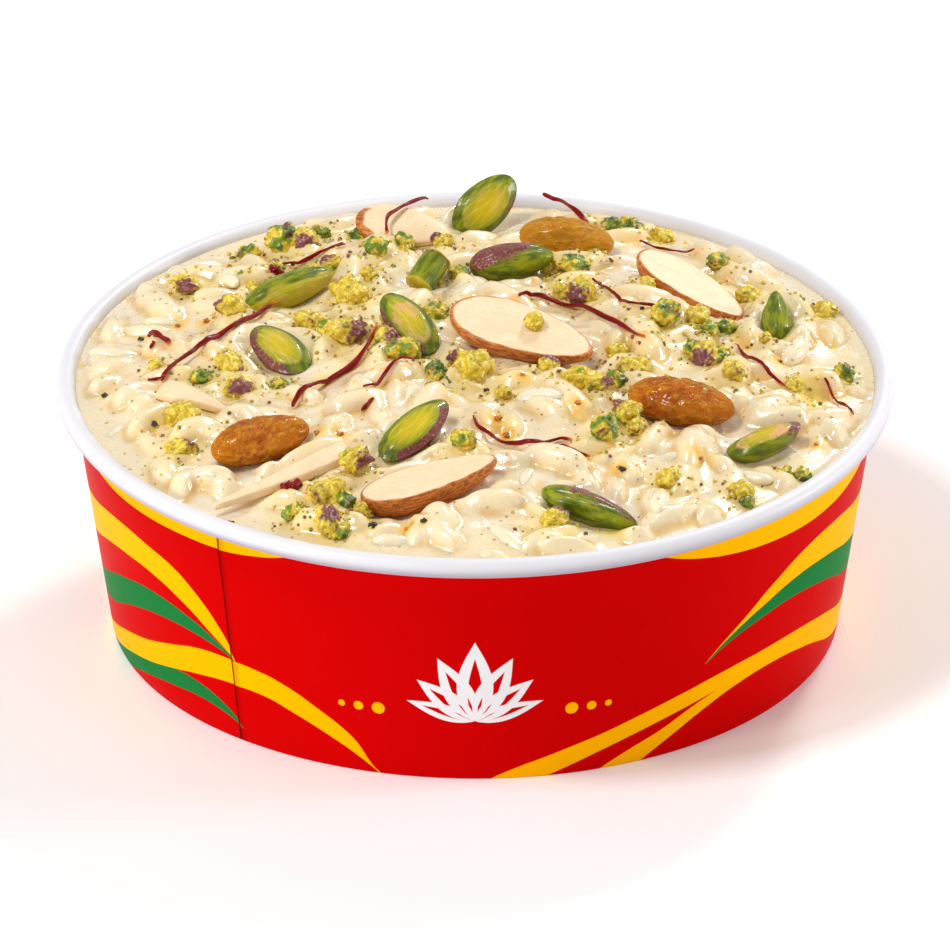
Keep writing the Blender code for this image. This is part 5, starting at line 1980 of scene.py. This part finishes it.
@dataclass
class Strewing:
    """What is strewn over the pudding: crushed pistachio, its dust, dark specks and saffron threads."""

    relief: Relief
    seed: int = 21
    dust_near: int = 18
    dust_far: int = 260
    dust_reach: float = 67.0
    pudding_edge: float = 69.0

    # The green and purple shares that a bit of dust may have, near a crumb and far from all
    NEAR_BITS = ((0.1, 0.0), (0.2, 0.0), (0.4, 0.0), (0.7, 0.0), (0.2, 0.9), (0.1, 0.4))
    FAR_BITS = ((0.0, 0.0), (0.1, 0.0), (0.0, 0.35), (0.1, 0.6), (0.4, 0.0))

    def build(self) -> list[Piece]:
        """Builds the strewn pieces.

        Returns:
            The crumbs, dust, specks and threads.
        """
        meal = Crumb().material()
        return [
            add_piece(self._crumbs(), "pistachio_crumbs", [meal]),
            add_piece(self._dust(), "pistachio_dust", [meal]),
            add_piece(self._specks(), "seed_specks", [Speck().material()]),
            add_piece(self._threads(), "saffron_threads", [Saffron().material()]),
        ]

    def _crumbs(self) -> Form:
        """Broken lumps of pistachio, with rough faces and skin on one side.

        Returns:
            The joined mesh.
        """
        draw = random.Random(self.seed)
        shape = bmesh.new()
        green_layer, purple_layer = number_layers(shape, "green", "purple")
        bits = []
        for x, y, breadth, hue in CRUMBS:
            bits.append((x, y, breadth, hue, self.relief.top(x * MM, y * MM) + 0.10 * breadth * MM))
        x, y, breadth, lift = CRUMB_ON_ALMOND
        bits.append((x, y, breadth, Hue.YELLOW, self.relief.heap.bare_height(x * MM, y * MM) + lift * MM))
        for x, y, breadth, hue, height in bits:
            green, purple = hue.value
            size = breadth * MM
            made = bmesh.ops.create_icosphere(shape, subdivisions=4, radius=0.5)["verts"]
            stretch = drawn_vector(draw, (0.92, 1.12), (0.74, 0.92), (0.66, 0.85))
            skin_side = drawn_vector(draw, (-1, 1), (-1, 0.2), (0.0, 0.8)).normalized()
            offset = drawn_vector(draw, (0, 50), (0, 50), (0, 50))
            for vert in made:
                facing = vert.co.normalized()
                broad = noise.noise(facing * 1.5 + offset)
                rough = noise.noise(facing * 4.2 + offset)
                fine = noise.noise(facing * 9.5 + offset)
                granule = noise.voronoi(facing * 2.1 + offset)[0][0]
                bulge = 0.30 * broad + 0.10 * rough + 0.05 * fine + 0.42 * (0.45 - granule)
                vert.co = facing * 0.5 * (1.0 + bulge) * stretch * size
                vert[green_layer] = green
                side = facing.dot(skin_side) + 0.45 * rough + 0.25 * fine
                vert[purple_layer] = smooth_share(side, 1.02 - 0.75 * purple, 1.14 - 0.75 * purple)
            turn = Matrix.Rotation(draw.uniform(0, math.tau), 4, "Z")
            turn = turn @ Matrix.Rotation(draw.uniform(-0.4, 0.4), 4, "X")
            bmesh.ops.transform(shape, matrix=Matrix.Translation((x * MM, y * MM, height)) @ turn, verts=made)
        return shape

    def _dust(self) -> Form:
        """Small bits that lie thickest round the crumbs.

        Returns:
            The joined mesh.
        """
        draw = random.Random(self.seed + 1)
        shape = bmesh.new()
        green_layer, purple_layer = number_layers(shape, "green", "purple")
        spots = []
        for x, y, breadth, _ in CRUMBS:
            for _ in range(self.dust_near):
                away = breadth * draw.uniform(0.45, 1.4)
                angle = draw.uniform(0, math.tau)
                bit, size = draw.choice(self.NEAR_BITS), draw.uniform(0.25, 0.95)
                spots.append((x + away * math.cos(angle), y + away * math.sin(angle), size, bit))
        for _ in range(self.dust_far):
            x, y = place_on_disc(draw, self.dust_reach)
            bit, size = draw.choice(self.FAR_BITS), draw.uniform(0.2, 0.5)
            spots.append((x, y, size, bit))
        for x, y, breadth, (green, purple) in spots:
            if math.hypot(x, y) > self.pudding_edge:
                continue
            made = bmesh.ops.create_icosphere(shape, subdivisions=1, radius=0.5 * breadth * MM)["verts"]
            for vert in made:
                vert.co *= draw.uniform(0.75, 1.15)
                vert[green_layer] = green
                vert[purple_layer] = purple
            height = self.relief.top(x * MM, y * MM) + 0.12 * breadth * MM
            bmesh.ops.transform(shape, matrix=Matrix.Translation((x * MM, y * MM, height)), verts=made)
        return shape

    def _specks(self) -> Form:
        """Dark seed specks and brown flecks, each slightly out of round.

        Returns:
            The joined mesh.
        """
        draw = random.Random(self.seed + 2)
        shape = bmesh.new()
        brown = shape.verts.layers.float.new("brown")
        for x, y, breadth in SPECKS + FLECKS:
            made = bmesh.ops.create_icosphere(shape, subdivisions=3, radius=0.46 * breadth * MM)["verts"]
            offset = Vector((draw.uniform(0, 9), draw.uniform(0, 9), 0.0))
            for vert in made:
                vert.co *= 1.0 + 0.55 * noise.noise(vert.co.normalized() * 1.6 + offset)
                vert.co.z *= 0.6
                vert[brown] = float((x, y, breadth) in FLECKS)
            height = self.relief.top(x * MM, y * MM) + 0.14 * breadth * MM
            bmesh.ops.transform(shape, matrix=Matrix.Translation((x * MM, y * MM, height)), verts=made)
        return shape

    def _line(self, points: Sequence[tuple[float, float, float]], steps: int) -> list[Vector]:
        """A smooth line over the surface through a thread's points.

        Args:
            points: places in millimetres, with the height above the surface.
            steps: how many parts each span has.

        Returns:
            The line's points in metres.
        """
        stations = []
        for x, y, lift in points:
            stations.append(Vector((x * MM, y * MM, self.relief.top(x * MM, y * MM) + lift * MM)))
        padded = [2 * stations[0] - stations[1], *stations, 2 * stations[-1] - stations[-2]]
        line = []
        for index in range(1, len(padded) - 2):
            before, start, end, after = padded[index - 1 : index + 3]
            for step in range(steps):
                t = step / steps
                line.append(
                    0.5
                    * (
                        2 * start
                        + t * (end - before)
                        + t * t * (2 * before - 5 * start + 4 * end - after)
                        + t * t * t * (3 * start - before - 3 * end + after)
                    )
                )
        line.append(stations[-1])
        heights = [max(point.z, self.relief.top(point.x, point.y) + 0.15 * MM) for point in line]
        smooth = []
        for index in range(len(line)):
            part = slice(max(index - 3, 0), index + 4)
            middle = sum(line[part], Vector()) / len(line[part])
            middle.z = 0.6 * max(heights[part]) + 0.4 * sum(heights[part]) / len(heights[part])
            middle.z = max(middle.z, self.relief.top(middle.x, middle.y) + 0.2 * MM)
            smooth.append(middle)
        return smooth

    def _threads(self) -> Form:
        """Saffron threads: flattened, twisted and tapered tubes that follow the surface.

        Returns:
            The joined mesh.
        """
        shape = bmesh.new()
        along_layer, ridge_layer = number_layers(shape, "along", "ridge")
        for number, (breadth, points) in enumerate(THREADS):
            line = self._line(points, 9)
            last = len(line) - 1
            loops = []
            for index, point in enumerate(line):
                heading = (line[min(index + 1, last)] - line[max(index - 1, 0)]).normalized()
                share = index / last
                swell = 0.34 + 0.66 * math.sin(math.pi * (0.12 + 0.80 * share)) ** 0.8
                swell *= 1.0 + 0.22 * noise.noise(Vector((share * 6.0, number * 3.1, 0.0)))
                radius = 0.45 * breadth * MM * swell * (0.25 if index in (0, last) else 1.0)
                side = heading.cross(Vector((0, 0, 1))).normalized()
                up = side.cross(heading)
                twist = 2.2 * share * math.pi + number
                ring = bmesh.ops.create_circle(shape, cap_ends=False, segments=15, radius=1.0)["verts"]
                for vert in ring:
                    ridge = 0.5 + 0.5 * math.cos(3 * math.atan2(vert.co.y, vert.co.x))
                    thick = radius * (0.86 + 0.22 * ridge)
                    across, above = vert.co.x * thick, vert.co.y * thick * 0.66
                    turned = (
                        across * math.cos(twist) - above * math.sin(twist),
                        across * math.sin(twist) + above * math.cos(twist),
                    )
                    vert.co = point + side * turned[0] + up * turned[1]
                    vert[along_layer] = share
                    vert[ridge_layer] = ridge
                loops.append(list({edge for vert in ring for edge in vert.link_edges}))
            for first, second in zip(loops, loops[1:]):
                bmesh.ops.bridge_loops(shape, edges=first + second)
            for end in (loops[0], loops[-1]):
                bmesh.ops.contextual_create(shape, geom=end)
        bmesh.ops.recalc_face_normals(shape, faces=shape.faces)
        return shape


# Studio


@dataclass
class Studio:
    """The floor, the soft lights and the camera at the photograph's angle."""

    elevation_deg: float = 26.9
    distance: float = 3.0
    frame_pixels: float = 950.0
    pixels_per_mm: float = 5.573
    rim_height: float = 45.85 * MM
    rim_row: float = 381.5
    sensor: float = 36.0
    surround: float = 0.42

    # Each soft light's name, place, side and power in watts
    LIGHTS = (
        ("key_softbox", (-0.50, -0.30, 1.12), 0.26, 7.5),
        ("left_strip", (-1.10, -0.75, 0.20), 0.30, 8.2),
        ("right_strip", (1.15, 0.12, 0.30), 0.30, 6.6),
        ("back_softbox", (0.45, 0.95, 0.95), 0.20, 7.8),
    )

    def build(self) -> None:
        """Builds the stage."""
        self._floor()
        self._world()
        self._camera()
        for light in self.LIGHTS:
            self._area(*light)

    def _floor(self) -> None:
        """A plain pale floor."""
        shape = bmesh.new()
        bmesh.ops.create_grid(shape, x_segments=8, y_segments=8, size=4.0)
        mesh = bpy.data.meshes.new("floor")
        shape.to_mesh(mesh)
        shape.free()
        material, graph, shader = new_material("pale_floor", Specular_IOR_Level=0.1)
        cloud = graph.noise(graph.object_place(), 3.0, 2.0)
        graph.feed(shader.inputs["Base Color"], graph.mix(cloud, (0.94, 0.94, 0.94), (0.97, 0.97, 0.97)))
        graph.feed(shader.inputs["Roughness"], graph.between(cloud, 0.75, 0.85))
        mesh.materials.append(material)
        floor = bpy.data.objects.new("floor", mesh)
        bpy.context.scene.collection.objects.link(floor)

    def _world(self) -> None:
        """A bright, even surround."""
        world = bpy.data.worlds.new("studio")
        world.use_nodes = True
        background = world.node_tree.nodes["Background"]
        background.inputs["Color"].default_value = (1.0, 1.0, 1.0, 1.0)
        background.inputs["Strength"].default_value = self.surround
        bpy.context.scene.world = world
        bpy.context.scene.view_settings.view_transform = "Standard"

    def _area(self, name: str, place: tuple[float, float, float], size: float, power: float) -> None:
        """A square soft light that faces the bowl.

        Args:
            name: the light's name.
            place: where it hangs.
            size: its side.
            power: its power in watts.
        """
        light = bpy.data.lights.new(name, "AREA")
        light.shape = "SQUARE"
        light.size = size
        light.energy = power
        lamp = bpy.data.objects.new(name, light)
        lamp.location = place
        aim = Vector((0, 0, 0.03)) - lamp.location
        lamp.rotation_euler = aim.to_track_quat("-Z", "Y").to_euler()
        bpy.context.scene.collection.objects.link(lamp)

    def _camera(self) -> None:
        """The camera, at the photograph's angle and scale."""
        data = bpy.data.cameras.new("camera")
        data.sensor_width = self.sensor
        data.lens = self.pixels_per_mm * self.distance / MM / self.frame_pixels * self.sensor
        data.clip_end = 20.0
        camera = bpy.data.objects.new("camera", data)
        elevation = math.radians(self.elevation_deg)
        drop = (self.frame_pixels / 2 - self.rim_row) / self.pixels_per_mm * MM / math.cos(elevation)
        aim = Vector((0, 0, self.rim_height - drop))
        away = Vector((0, -math.cos(elevation), math.sin(elevation)))
        camera.location = aim + away * self.distance
        camera.rotation_euler = (-away).to_track_quat("-Z", "Y").to_euler()
        bpy.context.scene.collection.objects.link(camera)
        bpy.context.scene.camera = camera


def main() -> None:
    """Builds the filled bowl and its stage."""
    logging.basicConfig(level=logging.INFO, format="%(message)s")
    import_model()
    effects = Effects()
    bowl = PaperBowl(BowlPlan(), effects)
    bowl.build()
    bowl.dress_base()
    heap = PuddingPlan()
    pudding = Pudding(heap, effects, TOPPINGS)
    pudding.prepare()
    pudding.build()
    NutsAndRaisins(heap, effects, TOPPINGS).build()
    Strewing(pudding.relief).build()
    Studio().build()


if __name__ == "__main__":
    main()
